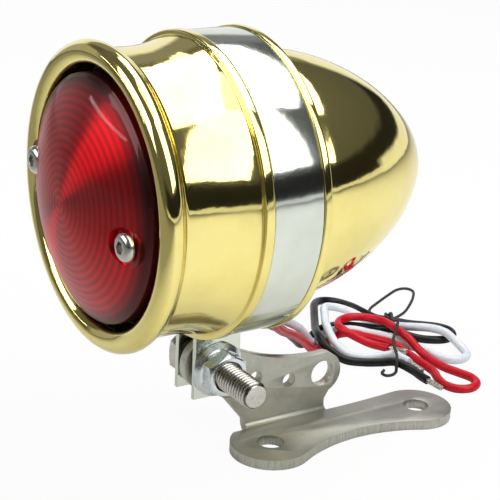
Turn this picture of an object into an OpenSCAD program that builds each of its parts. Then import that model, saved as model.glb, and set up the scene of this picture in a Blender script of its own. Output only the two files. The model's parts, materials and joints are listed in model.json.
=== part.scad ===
// Motorcycle tail light: a bullet-shaped brass lamp in a steel clamp band, on a bent steel bracket.
// The lamp's axis runs along Y, with the lens towards -Y. Z is up.
// The origin is midway between the two holes of the bracket's foot, on its underside.

/* [Housing] */
// Outer radius of the two ribs beside the clamp band
rib_r = 42; // [41:0.5:45]
// Wall of the two brass shells
shell_wall = 1.2; // [1:0.1:1.6]
// Width of the front rib
front_rib_w = 2.9; // [2:0.1:4]
// Width of the rear rib
rear_rib_w = 2.4; // [2:0.1:4]
// Bevel on the edges of the ribs
rib_bevel = 0.5; // [0.2:0.1:0.8]
// Drop from the front rib down to the front shell
rib_drop = 1.4; // [1:0.1:2]
// Depth of the waist below the end of the front shell
waist_depth = 2.1; // [1:0.1:3]
// Length of the front shell from the rib to the middle of the rolled rim
shell_len = 24.4; // [23:0.2:30]
// Drop from the front rib down to the rolled rim
rim_drop = 0.8; // [0.2:0.1:1.5]
// Radius of the roll itself
rim_roll = 3.2; // [2.6:0.1:3.6]
// Radius of the bullet where it leaves the rear rib
bullet_r = 35.2; // [33:0.2:37]
// Distance from the middle of the band to the tip of the bullet
bullet_len = 66.4; // [62:0.4:80]
// Straight start of the bullet behind the rear rib
bullet_straight = 6; // [4:0.5:8]

/* [Clamp] */
// Width of the clamp band
band_w = 14.8; // [14:0.2:18]
// Thickness of the clamp band
band_t = 1.5; // [1.2:0.1:2]
// Depth of the band's surface below the ribs
band_below = 0.4; // [0.2:0.1:0.6]
// Distance from the lamp's axis down to the bolt
bolt_drop = 53.5; // [52:0.5:58]
// Length of the ears below the bolt's axis
ear_below = 8.2; // [7.6:0.2:10]
// Diameter of the bolt
bolt_d = 8; // [7:0.5:8]
// Length of the bolt under its head
bolt_len = 31.5; // [29:0.5:40]
// Width across the flats of the bolt's head
head_flats = 13; // [12:0.5:14]
// Height of the bolt's head
head_h = 5.3; // [4:0.1:6]
// Width across the flats of the nut
nut_flats = 12; // [11.5:0.5:14]
// Height of the nut
nut_h = 6.5; // [6:0.5:8]
// Diameter of the nut's flange
flange_d = 16; // [15:0.5:18]
// Pitch of the bolt's thread
thread_pitch = 1.25; // [1:0.25:1.5]
// Outside diameter of the two spacers
spacer_d = 13; // [12:0.5:14]
// Thickness of each spacer
spacer_t = 2.35; // [2:0.05:3]

/* [Bracket] */
// Thickness of the bracket
plate_t = 3; // [2.5:0.1:4]
// Distance between the two holes of the foot
foot_pitch = 53; // [50:1:60]
// Diameter of the two holes of the foot
foot_hole_d = 7.8; // [6.5:0.1:8.5]
// End radius of the foot round its front hole
foot_front_r = 11.8; // [11:0.1:13]
// End radius of the foot round its rear hole
foot_rear_r = 10.8; // [10:0.1:12]
// Radius of the long hollow in the foot's outer side
foot_hollow_r = 46; // [40:2:60]
// Distance from the standing plate's middle to the holes of the foot
foot_reach = 13; // [12.5:0.5:18]
// Distance from the bolt's axis back to the front hole of the foot
foot_back = 14.5; // [14:0.5:20]
// Distance from the bolt's axis down to the foot's upper face
plate_drop = 22.9; // [22:0.5:30]
// Inside radius of the bend
bend_r = 1.6; // [1.4:0.1:2.4]
// End radius of the plate round the bolt
nose_r = 8.2; // [7.6:0.1:9]
// End radius of the plate round its large hole
lobe_r = 6.6; // [6:0.1:7]
// Distance from the bolt back to the large hole
lobe_back = 39.8; // [38:0.2:42]
// Distance from the bolt down to the large hole
lobe_drop = 11.3; // [10:0.1:12]
// Diameter of the large hole
lobe_hole_d = 8; // [7:0.2:9]
// Diameter of the two small holes
small_hole_d = 4.3; // [3:0.1:5]

/* [Lens] */
// Gap between the lens and the rolled rim round it
lens_gap = 1.8; // [1.2:0.1:2.8]
// Thickness of the lens
lens_t = 2.4; // [2:0.1:3]
// Height of the lens's dome
dome_h = 9; // [8:0.5:14]
// How far the dome's edge stands out past the middle of the rim
lens_out = 2.7; // [1:0.1:3.5]
// Length of the lens's skirt
skirt_len = 10; // [8:0.5:11]
// Spacing of the rings inside the lens
ring_pitch = 1.9; // [1.5:0.1:3]
// Height of the rings inside the lens
ring_h = 0.5; // [0.3:0.1:0.8]
// Distance of each lens screw in from the lens's edge
screw_inset = 7; // [6:0.5:8]
// Angle of the line through the two lens screws
screw_turn = -9; // [-20:1:20]
// Diameter of the lens screws
screw_d = 4; // [3.5:0.5:4]
// Diameter of the lens screws' heads
screw_head_d = 8; // [7.4:0.2:8.4]
// Height of the lens screws' heads
screw_head_h = 2.4; // [2:0.1:3]
// Length of the lens screws under their heads
screw_len = 18; // [16:1:22]
// Width of the hexagon socket in the lens screws
screw_socket = 3; // [2.5:0.5:3.5]
// Thickness of the rubber ring behind the lens
gasket_t = 1.5; // [1:0.1:2]

/* [Inside] */
// Thickness of the steel base plate
base_t = 1.5; // [1.2:0.1:2]
// Wall of the reflector
reflector_t = 0.8; // [0.6:0.1:1.2]
// Length of the sleeve inside the two necks
sleeve_len = 12.8; // [12:0.2:14]
// Wall of the sleeve
sleeve_t = 1.5; // [1.2:0.1:2]
// Radius of the bulb's base
bulb_base_r = 7.5; // [7.3:0.1:7.6]
// Length of the bulb's base
bulb_base_len = 18; // [16:1:19]
// Radius of the bulb's glass
bulb_r = 12.5; // [11:0.5:13]
// Length of the bulb's glass
bulb_len = 30.5; // [29:0.5:32]
// Wall of the bulb's glass
glass_t = 0.6; // [0.5:0.1:0.8]
// Wall of the bulb's socket
socket_t = 0.8; // [0.6:0.1:1]
// How far the bulb can be pushed into its socket
push = 2; // [1.5:0.1:2.2]
// Wire of the contact spring
spring_wire = 0.8; // [0.6:0.1:0.9]
// Turns of the contact spring
spring_turns = 3; // [2.5:0.5:3]

/* [Wires] */
// Diameter of the three wires
wire_d = 2.8; // [2.6:0.1:3]

/* [Hidden] */
// Clearance between faces of pieces that are fixed together
seat_gap = 0.05;
// Radial clearance of a running fit
run_gap = 0.1;
// Clearance at each side of a piece that turns between two faces
side_gap = 0.1;
// Sides of round pieces
$fn = 96;

// Housing, along the lamp's axis from the middle of the band
band_r = rib_r - band_below;
neck_r = band_r - band_t - run_gap;
neck_in = neck_r - shell_wall;
rib_y = band_w / 2 + side_gap;
front_rib_y = -rib_y - front_rib_w;
rear_rib_y = rib_y + rear_rib_w;
end_r = rib_r - rib_drop;
waist_r = end_r - waist_depth;
rim_y = front_rib_y - shell_len;
waist_y = (front_rib_y + rim_y) / 2;
rim_r = rib_r - rim_drop;
rim_step = 1.8;
rim_flare = rim_r - rim_step - waist_r;
bullet_y = rear_rib_y + bullet_straight;
bullet_steps = 20;
bullet_fullness = 1.68;
bullet_roundness = 1.63;

// Clamp and bracket
ear_in = plate_t / 2 + spacer_t + side_gap;
ear_out = ear_in + band_t;
ear_bottom = bolt_drop + ear_below;
bolt_hole_d = bolt_d + 0.4;
foot_mid_y = foot_back + foot_pitch / 2;
foot_top = bolt_drop + plate_drop;
foot_bottom = foot_top + plate_t;
bend_in_x = plate_t / 2 + bend_r;
bend_lead = 1.5;
bend_start = foot_back - bend_lead;
bend_tail = 1.2;
bend_end = lobe_back + bend_tail;
bend_rise = 1.5;
bend_lap = 1;
plate_arc_r = 62;
plate_arc_lead = 1.5;
plate_arc_dip = 0.1;
nose_step = 1;
nose_flat = 2;
heel_back = 2.9;
heel_drop = 8.8;
front_hole_back = 15.9;
front_hole_drop = 8;
rear_hole_back = 27.7;
rear_hole_drop = 11.1;

// Lens and what carries it
lens_r = rim_r - 2 * rim_roll - lens_gap;
lens_edge_y = rim_y - lens_out;
screw_out = lens_r - screw_inset;
dome_r = (lens_r * lens_r + dome_h * dome_h) / (2 * dome_h);
dome_y = lens_edge_y - dome_h + dome_r;
skirt_end_y = lens_edge_y + skirt_len;
gasket_end_y = skirt_end_y + gasket_t;
seat_sink = 0.9;
seat_y = dome_y - sqrt(dome_r * dome_r - screw_out * screw_out) + seat_sink;
boss_wall = 1.5;
boss_r = screw_head_d / 2 + boss_wall;
recess_r = boss_r - 0.5;
boss_len = 6.2;
post_y = seat_y + boss_len;
post_r = 3.25;
thread_spare = 1;
rivet_head = 1;
plate_front_y = -sleeve_len / 2 - base_t;
plate_rear_y = -sleeve_len / 2;
reflector_foot_r = 17;
reflector_mouth_r = lens_r - lens_t;
flange_r = neck_in - waist_depth - 0.4;
lug_r = 3;
lug_out = neck_in - lug_r - 0.8;
lug_len = 9;
small_screw_d = 3;
small_head_r = 2.8;
small_head_h = 2;

// Bulb and socket
bulb_front_y = -10;
base_rear_y = bulb_front_y + bulb_base_len;
dot_h = 0.8;
dot_r = 1.6;
contact_x = 3.2;
bulb_neck_r = bulb_base_r - 0.6;
bulb_mid_y = bulb_front_y - bulb_len + bulb_r;
pin_r = 1;
pin_stagger = 3;
pin_back = 10;
pin_y = bulb_front_y + pin_back;
pin_out = 1.8;
socket_in = bulb_base_r + 0.2;
socket_out = socket_in + socket_t;
socket_lead = 4.1;
socket_front_y = plate_front_y - socket_lead;
socket_flange_r = 16;
socket_flange_t = 1;
rivet_out = 12.5;
rivet_r = 1.5;
slot_turn = 28;
slot_half = pin_r + 0.15;
slot_over = 3;
carrier_y = base_rear_y + dot_h + 0.8;
carrier_t = 2.5;
spring_y = carrier_y + carrier_t;
spring_closed = (spring_turns + 1) * spring_wire;
spring_len = push + spring_closed + 0.2;
spring_r = socket_in - spring_wire / 2 - 1.6;
socket_wall_y = spring_y + spring_len;
tail_r = 0.75;
tail_gap = 0.1;
tail_end_y = socket_wall_y + socket_t + 2.8;
terminal_r = 1.45;
terminal_y = socket_wall_y + socket_t + 0.4;
terminal_len = 7;

// Earth of the black lead, on the base plate's rear face between the socket's flange and the plate's edge
earth_rise = 0.4;
earth_z = earth_rise - (socket_flange_r + neck_in) / 2;
earth_ring_r = 4;
earth_ring_t = 0.8;
barrel_rise = 5.5;
barrel_z = earth_z + barrel_rise;
barrel_r = 1.9;
barrel_end_y = 1;

// Grommet in the underside of the bullet
exit_y = 20;
grommet_hole_r = 4.6;
grommet_flange_r = 6.2;
grommet_flange_t = 1.5;
grommet_out = bullet_r + 0.05;
grommet_inner_r = 5.8;
grommet_inner_t = 1.2;
wire_spread = 2;
exit_z = -grommet_out - grommet_flange_t;
grommet_in = bullet_at(exit_y + grommet_inner_r, bullet_r - shell_wall, bullet_len - shell_wall) - 0.1;

small_holes = [[front_hole_back, -front_hole_drop], [rear_hole_back, -rear_hole_drop]];
inner_hollow_r = 260;
shell_steps = 12;
shell_screw_angles = [30, 150, 270];
plate_screw_angles = [90, 210, 330];
neck_screw_y = band_w / 4 + 0.1;
screw_face_r = neck_r - 0.15;
shell_screw_len = shell_wall + sleeve_t + 1;
lens_steps = 16;
ring_count = floor((lens_r - lens_t - 2) / ring_pitch);
post_foot_r = 2.2;
reflector_steps = 8;
stem_len = 7;
stem_r = 2.2;
filament_half = 3.6;
filament_r = 0.5;
support_r = 0.3;

// Where the three wires pass through the grommet: black, red, white
exit_spots = [for (angle = [253, 13, 133]) [wire_spread * cos(angle), exit_y + wire_spread * sin(angle)]];

// Routes of the three leads inside the housing
terminal_end_y = terminal_y + terminal_len;
lead_gap = 0.15;
lead_straight = 6.75;
lead_run = 3;
lead_rise = 3;
black_rise = 4;
inner_routes = [
    [
        [0, barrel_end_y + lead_gap, barrel_z], [0, barrel_end_y + lead_run, barrel_z],
        [0, 8, -23], [-0.3, 13, -25], [-0.6, 17, -28.5],
        [exit_spots[0][0], exit_spots[0][1], exit_z + black_rise],
        [exit_spots[0][0], exit_spots[0][1], exit_z]
    ],
    [
        [contact_x, terminal_end_y + lead_gap, 0], [contact_x, terminal_end_y + lead_run, 0],
        [4, 36, -3], [5, 38, -9], [5, 34.5, -15], [4.2, 28, -20],
        [3, 22.5, -25], [exit_spots[1][0], exit_spots[1][1], exit_z + lead_straight],
        [exit_spots[1][0], exit_spots[1][1], exit_z + lead_rise],
        [exit_spots[1][0], exit_spots[1][1], exit_z]
    ],
    [
        [-contact_x, terminal_end_y + lead_gap, 0], [-contact_x, terminal_end_y + lead_run, 0],
        [-4, 36, -3], [-5, 38, -9], [-5, 34.5, -15], [-4.2, 28.5, -20],
        [-2.4, 24, -25], [exit_spots[2][0], exit_spots[2][1], exit_z + lead_straight],
        [exit_spots[2][0], exit_spots[2][1], exit_z + lead_rise],
        [exit_spots[2][0], exit_spots[2][1], exit_z]
    ]
];

// Routes of the three wires, from the grommet down to the surface and round the tied bundle
black_route = [
    [-13.6, -22.9, 42.6], [-13.6, -22.9, 39.6], [-15, -21.6, 36], [-18.8, -18, 31.8], [-25, -11.5, 27],
    [-32.3, -3.2, 21.5], [-39.5, 5, 15.5], [-46, 12.5, 9.5], [-51.8, 18.6, 4.5], [-57.2, 24.6, 1.6],
    [-62, 31.2, 1.5], [-65, 37.4, 1.5], [-64.5, 44.2, 1.5], [-60.6, 49.8, 1.5], [-56.3, 53.8, 1.6],
    [-51.9, 56.5, 2.7], [-47.5, 58.8, 2], [-43, 62, 1.5], [-39.7, 66, 1.5], [-38.4, 70.3, 1.5],
    [-40, 74.3, 1.5], [-44, 76, 1.5], [-48.3, 74.3, 1.5], [-51.8, 70.5, 1.5], [-54.7, 66, 1.8],
    [-58, 61, 2.7], [-63.5, 59.2, 1.8], [-70, 58.8, 1.5], [-76.3, 57.6, 1.8], [-81.2, 53.9, 2.5],
    [-82, 48.2, 3.5], [-78.2, 42.8, 4.6], [-72, 38.3, 4.9], [-65.5, 34, 4.9], [-58.5, 29.5, 5.3],
    [-51.5, 26, 6], [-45.5, 25, 4.6], [-39.5, 27.8, 2], [-35.5, 33, 1.5], [-32, 37.5, 2],
    [-28.7, 41, 2.7], [-23, 43.3, 1.8], [-18, 43.3, 1.5], [-15, 43.3, 1.5]
];
// White wire
white_route = [
    [-14.4, -19.5, 42.6], [-14.4, -19.5, 39.6], [-15.8, -18.2, 36.2], [-19.8, -14.3, 32.5],
    [-26.5, -7.5, 27.8], [-33.7, 1, 22.3], [-40.5, 9.5, 16.5], [-46.5, 16.5, 10.5], [-51.5, 22.5, 4.8],
    [-55.9, 28, 1.8], [-59.8, 33.6, 1.5], [-61.7, 38, 1.5], [-61.2, 43, 1.5], [-58.3, 47.1, 1.5],
    [-54.6, 49.1, 1.6], [-49, 50.6, 2.5], [-43.8, 52.4, 2.7], [-38.5, 55.8, 1.5], [-33.5, 57.9, 1.5],
    [-28.7, 58.2, 1.5], [-24.6, 59.8, 1.5], [-22.9, 63.8, 1.5], [-24.6, 67.8, 1.5], [-28.7, 69.5, 1.8],
    [-33, 69.5, 3], [-37.3, 68.6, 4.7], [-42, 66.2, 4.9], [-47, 63.2, 4], [-51.4, 60.9, 3],
    [-55.1, 58.7, 2.7], [-60.5, 56, 1.8], [-67, 55.4, 1.5], [-72.5, 54.4, 1.8], [-76.6, 51.4, 2.4],
    [-76.8, 47, 3.4], [-73.2, 43.4, 4.4], [-68, 40, 4.9], [-62, 36.2, 4.9], [-54.5, 32.5, 4.9],
    [-47.5, 30.3, 3.8], [-42, 31.5, 2], [-38.5, 35.5, 1.5], [-36.2, 40, 2], [-33.6, 44, 2.7],
    [-31, 46, 2], [-28.2, 46.2, 1.8]
];
// Red wire
red_route = [
    [-11.05, -20.55, 42.6], [-11.05, -20.55, 39.6], [-12.6, -19.2, 35.4], [-16.5, -15.4, 30.6],
    [-23, -8.6, 25.2], [-30.2, -0.4, 20], [-37, 7.5, 14.5], [-43, 15, 8.5], [-48, 21.5, 3.2],
    [-52.2, 28.2, 1.6], [-55.9, 34.4, 1.5], [-58, 38.6, 1.5], [-57.9, 41.8, 1.5], [-56.1, 44.4, 1.5],
    [-53, 46, 1.5], [-47, 47.8, 2.2], [-41, 49.4, 2.7], [-34, 50.2, 1.8], [-26.5, 50, 1.5],
    [-19.5, 49.3, 1.5], [-14.5, 47.2, 1.5], [-10, 46.2, 1.5], [-5.8, 47.7, 1.5], [-4, 51.8, 1.5],
    [-5.7, 55.9, 1.5], [-10, 57.5, 1.5], [-15, 56.2, 1.5], [-20.5, 54.6, 1.5], [-27, 54.4, 1.5],
    [-33, 54.3, 2.5], [-38.5, 53.6, 5], [-44.3, 53.2, 6], [-50, 54.2, 5.6], [-55.5, 53.8, 5.2],
    [-60, 51.2, 4.9], [-62.3, 46.8, 4.9], [-61.5, 42, 4.9], [-58, 38.7, 4.9], [-53.5, 38, 4.9],
    [-49.3, 39.8, 3.8], [-45.5, 42.8, 2.4], [-42, 44.8, 2.3], [-38.7, 46, 2.7]
];

// Bare strands at the end of each wire
strand_d = 0.7;
strand_out = 0.55;
strand_len = 7;

// Thin cord tied round the waist of the bundle, with its knot and its two loose loops
tie_d = 1;
knot_r = 1.7;
tie_route = [
    [-62, 62, 1.6], [-60.6, 61.4, 1.2], [-59.4, 60.6, 0.6], [-56, 58.5, 0.55], [-42.5, 50, 0.55],
    [-30, 42.3, 0.55], [-27.6, 40.5, 0.7], [-26.4, 39.6, 2.2], [-27.2, 40.1, 4], [-29.2, 41.5, 5.1],
    [-33.5, 44, 5.2], [-38.5, 47.2, 5.3], [-41, 49.5, 6], [-42.4, 51.4, 8], [-44.5, 53.4, 8.8],
    [-46.8, 55, 8.2], [-49.2, 56.3, 6.8], [-52, 57.4, 5.7], [-55, 59.3, 5.3], [-58, 61.3, 5.1],
    [-60.2, 62.6, 4.2], [-61.6, 62.9, 2.8]
];
big_loop_route = [
    [-62.5, 64.5, 1], [-63, 67, 0.55], [-65.5, 73, 0.55], [-70, 79, 0.55], [-75.5, 85, 0.55],
    [-80.5, 89, 0.55], [-84, 88.5, 0.55], [-84.5, 84.5, 0.55], [-81.5, 78, 0.55], [-77.5, 70.5, 0.55],
    [-74, 64.5, 0.55], [-70.5, 62, 0.55], [-66.5, 62.6, 0.6], [-63.8, 63.6, 1.2]
];
small_loop_route = [
    [-29, 36.5, 0.55], [-27.4, 34.6, 0.55], [-25.4, 34.8, 0.55], [-25, 37, 0.55], [-26.2, 39.3, 0.6],
    [-27.6, 40.5, 0.7]
];
knot_spots = [[-62.6, 63.4, 1.9], [-60.8, 63.6, 2.6], [-64.2, 64, 1.8]];

// Puts a piece drawn about the middle of the band into the part's frame
module place() {
    translate([-foot_reach, -foot_mid_y, foot_bottom]) children();
}

// Turns a profile of (radius, distance along the lamp) into a body round the lamp's axis
module spin() {
    rotate([-90, 0, 0]) rotate_extrude() children();
}

// Cylinder along the lamp's axis, from y by a length
module rod_y(y, length, r, x = 0, z = 0) {
    translate([x, y, z]) rotate([-90, 0, 0]) cylinder(h = length, r = r);
}

// Cylinder across the lamp, from x by a length
module rod_x(x, length, r, y = 0, z = 0) {
    translate([x, y, z]) rotate([0, 90, 0]) cylinder(h = length, r = r);
}

// Round rod between two points
module rod(from, to, r) {
    v = to - from;
    length = norm(v);
    translate(from)
        rotate([0, acos(v[2] / length), atan2(v[1], v[0])])
            cylinder(h = length, r = r, $fn = 24);
}

// Ring section of a profile: a rectangle from r0 to r1 and from y0 to y1
module section(r0, r1, y0, y1) {
    translate([r0, y0]) square([r1 - r0, y1 - y0]);
}

// A rib's section, with both outer edges bevelled
module rib_section(y0, y1) {
    polygon([
        [neck_in, y0], [rib_r - rib_bevel, y0], [rib_r, y0 + rib_bevel],
        [rib_r, y1 - rib_bevel], [rib_r - rib_bevel, y1], [neck_in, y1]
    ]);
}

// Places children at the two lens screws
module at_lens_screws() {
    for (side = [0, 180])
        rotate([0, -screw_turn - side, 0])
            translate([screw_out, 0, 0]) children();
}

// Places children round the lamp at given angles
module around(angles) {
    for (a = angles)
        rotate([0, -a, 0]) children();
}

// Distances along the lamp where the front shell's curve is drawn, the last one inside the rib
shell_ys = [
    for (i = [0:shell_steps]) rim_y + i * (front_rib_y + front_rib_w / 3 - rim_y) / shell_steps
];

// Outer radius of the front shell at a distance along the lamp
function shell_r(y) = y > waist_y
    ? waist_r + waist_depth * pow((y - waist_y) / (front_rib_y - waist_y), 2)
    : waist_r + rim_flare * pow((waist_y - y) / (waist_y - rim_y), 2);

// Radius of the bullet at a distance along the lamp, for a given start radius and tip
function bullet_at(y, r0, tip) = y <= bullet_y
    ? r0
    : r0 * pow(max(0, 1 - pow((y - bullet_y) / (tip - bullet_y), bullet_fullness)), 1 / bullet_roundness);

// Points of the bullet's curve, closer together towards the tip
function bullet_curve(r0, tip) = [
    for (i = [0:bullet_steps])
        let (y = bullet_y + (tip - bullet_y) * sin(90 * i / bullet_steps))
            [bullet_at(y, r0, tip), y]
];

function reversed(list) = [for (i = [len(list) - 1:-1:0]) list[i]];

// Distance along the lamp of a dome of radius r about the lens's centre
function dome_at(r, sphere) = dome_y - sqrt(sphere * sphere - r * r);

// Smooth curve through the points of a route
function curve_point(a, b, c, d, t) =
    0.5 * (2 * b + (c - a) * t + (2 * a - 5 * b + 4 * c - d) * t * t
    + (3 * b - a - 3 * c + d) * t * t * t);

function route(points, per) = let (last = len(points) - 1) concat(
    [for (i = [0:last - 1]) for (k = [0:per - 1])
        let (
            before = i == 0 ? 2 * points[0] - points[1] : points[i - 1],
            after = i == last - 1 ? 2 * points[last] - points[last - 1] : points[i + 2]
        )
        curve_point(before, points[i], points[i + 1], after, k / per)],
    [points[last]]
);

function unit(v) = v / norm(v);
function tangent(path, i) = unit(path[min(i + 1, len(path) - 1)] - path[max(i - 1, 0)]);
function square_to(v, t) = unit(v - (v * t) * t);

// Side vector of each ring, carried along the path without twist
function sides_of(path) = let (first = tangent(path, 0)) [
    for (
        i = 0, side = square_to(abs(first[2]) < 0.9 ? [0, 0, 1] : [1, 0, 0], first);
        i < len(path);
        i = i + 1, side = i < len(path) ? square_to(side, tangent(path, i)) : side
    ) side
];

// Tube of a given diameter along a path
module tube(path, diameter, sides = 8) {
    n = len(path);
    across = sides_of(path);
    points = [
        for (i = [0:n - 1]) for (k = [0:sides - 1])
            let (t = tangent(path, i), a = across[i], b = cross(t, a), angle = 360 * k / sides)
                path[i] + diameter / 2 * (cos(angle) * a + sin(angle) * b)
    ];
    walls = [
        for (i = [0:n - 2]) for (k = [0:sides - 1])
            let (
                p = i * sides + k, q = i * sides + (k + 1) % sides,
                r = p + sides, s = q + sides
            )
            each [[p, r, q], [q, r, s]]
    ];
    start = [for (k = [1:sides - 2]) [0, k, k + 1]];
    end_ring = (n - 1) * sides;
    finish = [for (k = [1:sides - 2]) [end_ring, end_ring + k + 1, end_ring + k]];
    polyhedron(points = points, faces = concat(walls, start, finish), convexity = 10);
}

// Standing plate of the bracket, drawn back and up from the bolt's axis
module plate_outline() {
    low = -plate_drop + bend_r;
    circle(r = nose_r);
    translate([lobe_back, -lobe_drop]) circle(r = lobe_r);
    difference() {
        polygon([
            [0, nose_r - nose_step], [bend_start + nose_flat, nose_r - nose_step],
            [lobe_back, -lobe_drop + lobe_r], [lobe_back + lobe_r, -lobe_drop],
            [bend_end, low + bend_rise], [bend_end, low], [bend_start, low],
            [heel_back, -heel_drop], [-nose_r * 0.6, -nose_r * 0.8]
        ]);
        translate([lobe_back - plate_arc_lead, -lobe_drop + lobe_r + plate_arc_r - plate_arc_dip])
            circle(r = plate_arc_r, $fn = 180);
    }
}

// Neck of the foot on one side: the triangle between the two ends and a hollow circle
module foot_side(hollow_r, side) {
    a = foot_front_r + hollow_r;
    b = foot_rear_r + hollow_r;
    along = (a * a - b * b + foot_pitch * foot_pitch) / (2 * foot_pitch);
    out = side * sqrt(a * a - along * along);
    difference() {
        polygon([[0, 0], [out, along], [0, foot_pitch]]);
        translate([out, along]) circle(r = hollow_r, $fn = 240);
    }
}

module foot_outline() {
    difference() {
        union() {
            circle(r = foot_front_r);
            translate([0, foot_pitch]) circle(r = foot_rear_r);
            foot_side(foot_hollow_r, 1);
            foot_side(inner_hollow_r, -1);
            translate([-foot_reach + bend_in_x, bend_start - foot_back])
                square([foot_reach - bend_in_x, bend_end - bend_start]);
        }
        translate([-2 * foot_reach + bend_in_x, -2 * foot_front_r])
            square([foot_reach, 2 * foot_front_r + bend_end - foot_back]);
    }
}

// Quarter ring of the bend, with straight ends that lap into the foot and into the standing plate
module bend_section() {
    intersection() {
        difference() {
            circle(r = bend_r + plate_t);
            circle(r = bend_r);
        }
        square(2 * (bend_r + plate_t));
    }
    translate([-bend_lap, bend_r]) square([bend_lap, plate_t]);
    translate([bend_r, -bend_lap]) square([plate_t, bend_lap]);
}

module bracket() color("darkkhaki") place() {
    difference() {
        translate([-plate_t / 2, 0, -bolt_drop])
            rotate([90, 0, 90]) linear_extrude(plate_t) plate_outline();
        rod_x(-plate_t, 2 * plate_t, bolt_d / 2 + run_gap, 0, -bolt_drop);
        for (hole = small_holes)
            rod_x(-plate_t, 2 * plate_t, small_hole_d / 2, hole[0], -bolt_drop + hole[1]);
        rod_x(-plate_t, 2 * plate_t, lobe_hole_d / 2, lobe_back, -bolt_drop - lobe_drop);
    }
    translate([bend_in_x, bend_end, -foot_top + bend_r])
        rotate([90, 0, 0]) rotate([0, 0, 180])
            linear_extrude(bend_end - bend_start) bend_section();
    difference() {
        translate([foot_reach, foot_back, -foot_bottom]) linear_extrude(plate_t) foot_outline();
        for (y = [foot_back, foot_back + foot_pitch])
            translate([foot_reach, y, -foot_bottom - 1]) cylinder(h = plate_t + 2, r = foot_hole_d / 2);
    }
}

module clamp_band() color("lightsteelblue") place() {
    difference() {
        union() {
            rod_y(-band_w / 2, band_w, band_r);
            for (side = [-1, 1])
                translate([side * (ear_in + band_t / 2) - band_t / 2, -band_w / 2, -ear_bottom])
                    cube([band_t, band_w, ear_bottom - band_r / 2]);
        }
        rod_y(-band_w, 2 * band_w, band_r - band_t);
        translate([-ear_in, -band_w, -ear_bottom - 1]) cube([2 * ear_in, 2 * band_w, ear_bottom]);
        rod_x(-2 * ear_out, 4 * ear_out, bolt_hole_d / 2, 0, -bolt_drop);
    }
}

// Crests of a thread: rings on a core, from x by a length
module thread_x(x, length, r, pitch) {
    depth = 0.61 * pitch;
    turns = floor(length / pitch);
    translate([x, 0, 0]) rotate([0, 90, 0]) rotate_extrude() polygon(concat(
        [[0, 0]],
        [for (i = [0:turns - 1]) each [[r - depth, i * pitch], [r, (i + 0.5) * pitch]]],
        [[r - depth, turns * pitch], [r - depth, length], [0, length]]
    ));
}

module clamp_bolt() color("silver") place() translate([0, 0, -bolt_drop]) {
    translate([-ear_out, 0, 0]) rotate([0, -90, 0]) rotate(30)
        cylinder(h = head_h, r = head_flats / sqrt(3), $fn = 6);
    rod_x(-ear_out, ear_out + ear_in, bolt_d / 2);
    thread_x(ear_in, bolt_len - ear_out - ear_in, bolt_d / 2, thread_pitch);
}

module clamp_nut() color("lightcyan") place() translate([ear_out, 0, -bolt_drop]) difference() {
    union() {
        rotate([0, 90, 0]) cylinder(h = 1.2, r = flange_d / 2);
        translate([1.2, 0, 0]) rotate([0, 90, 0])
            cylinder(h = 1, r1 = flange_d / 2, r2 = nut_flats / 2);
        rotate([0, 90, 0]) cylinder(h = nut_h, r = nut_flats / sqrt(3), $fn = 6);
    }
    rod_x(-1, nut_h + 2, bolt_d / 2 + seat_gap);
}

module spacers() color("dimgray") place()
    for (side = [-1, 1])
        translate([side * (plate_t / 2 + side_gap + spacer_t / 2), 0, -bolt_drop])
            difference() {
                rod_x(-spacer_t / 2, spacer_t, spacer_d / 2);
                rod_x(-spacer_t, 2 * spacer_t, bolt_d / 2 + seat_gap);
            }

module neck_screw_holes(y) {
    around(shell_screw_angles) {
        rod_x(0, 2 * rib_r, small_screw_d / 2 + seat_gap, y);
        translate([screw_face_r - shell_wall, y, 0]) rotate([0, 90, 0])
            cylinder(h = shell_wall, r1 = small_screw_d / 2, r2 = small_head_r);
        rod_x(screw_face_r, rib_r, small_head_r, y);
    }
}

module front_shell() color("gold") place() difference() {
    spin() {
        section(neck_in, neck_r, -rib_y - 0.5, -seat_gap);
        rib_section(front_rib_y, -rib_y);
        polygon(concat(
            [for (y = shell_ys) [shell_r(y), y]],
            [for (y = reversed(shell_ys)) [shell_r(y) - shell_wall, y]]
        ));
        translate([rim_r - rim_roll, rim_y]) circle(r = rim_roll);
    }
    neck_screw_holes(-neck_screw_y);
}

module rear_shell() color("goldenrod") place() difference() {
    spin() {
        section(neck_in, neck_r, seat_gap, rib_y + 0.5);
        rib_section(rib_y, rear_rib_y);
        section(bullet_r - shell_wall, neck_in + 1, rear_rib_y - shell_wall, rear_rib_y);
        polygon(concat(
            [[bullet_r, rear_rib_y - shell_wall]], bullet_curve(bullet_r, bullet_len),
            reversed(bullet_curve(bullet_r - shell_wall, bullet_len - shell_wall)),
            [[bullet_r - shell_wall, rear_rib_y - shell_wall]]
        ));
    }
    neck_screw_holes(neck_screw_y);
    translate([0, exit_y, -bullet_r - 2]) cylinder(h = bullet_r, r = grommet_hole_r);
}

module join_sleeve() color("darkgoldenrod") place() difference() {
    union() {
        spin() section(neck_in - seat_gap - sleeve_t, neck_in - seat_gap, -sleeve_len / 2, sleeve_len / 2);
        around(plate_screw_angles) rod_y(-sleeve_len / 2, lug_len, lug_r, lug_out);
    }
    around(plate_screw_angles)
        rod_y(-sleeve_len / 2 - 1, lug_len + 2, small_screw_d / 2 + seat_gap, lug_out);
    around(shell_screw_angles)
        for (y = [-neck_screw_y, neck_screw_y])
            rod_x(0, 2 * rib_r, small_screw_d / 2 + seat_gap, y);
}

module shell_screws() color("silver") place() around(shell_screw_angles)
    for (y = [-neck_screw_y, neck_screw_y]) {
        rod_x(screw_face_r - shell_screw_len, shell_screw_len, small_screw_d / 2, y);
        translate([screw_face_r - shell_wall, y, 0]) rotate([0, 90, 0])
            cylinder(
                h = shell_wall - seat_gap, r1 = small_screw_d / 2 - seat_gap, r2 = small_head_r - seat_gap
            );
    }

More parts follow.
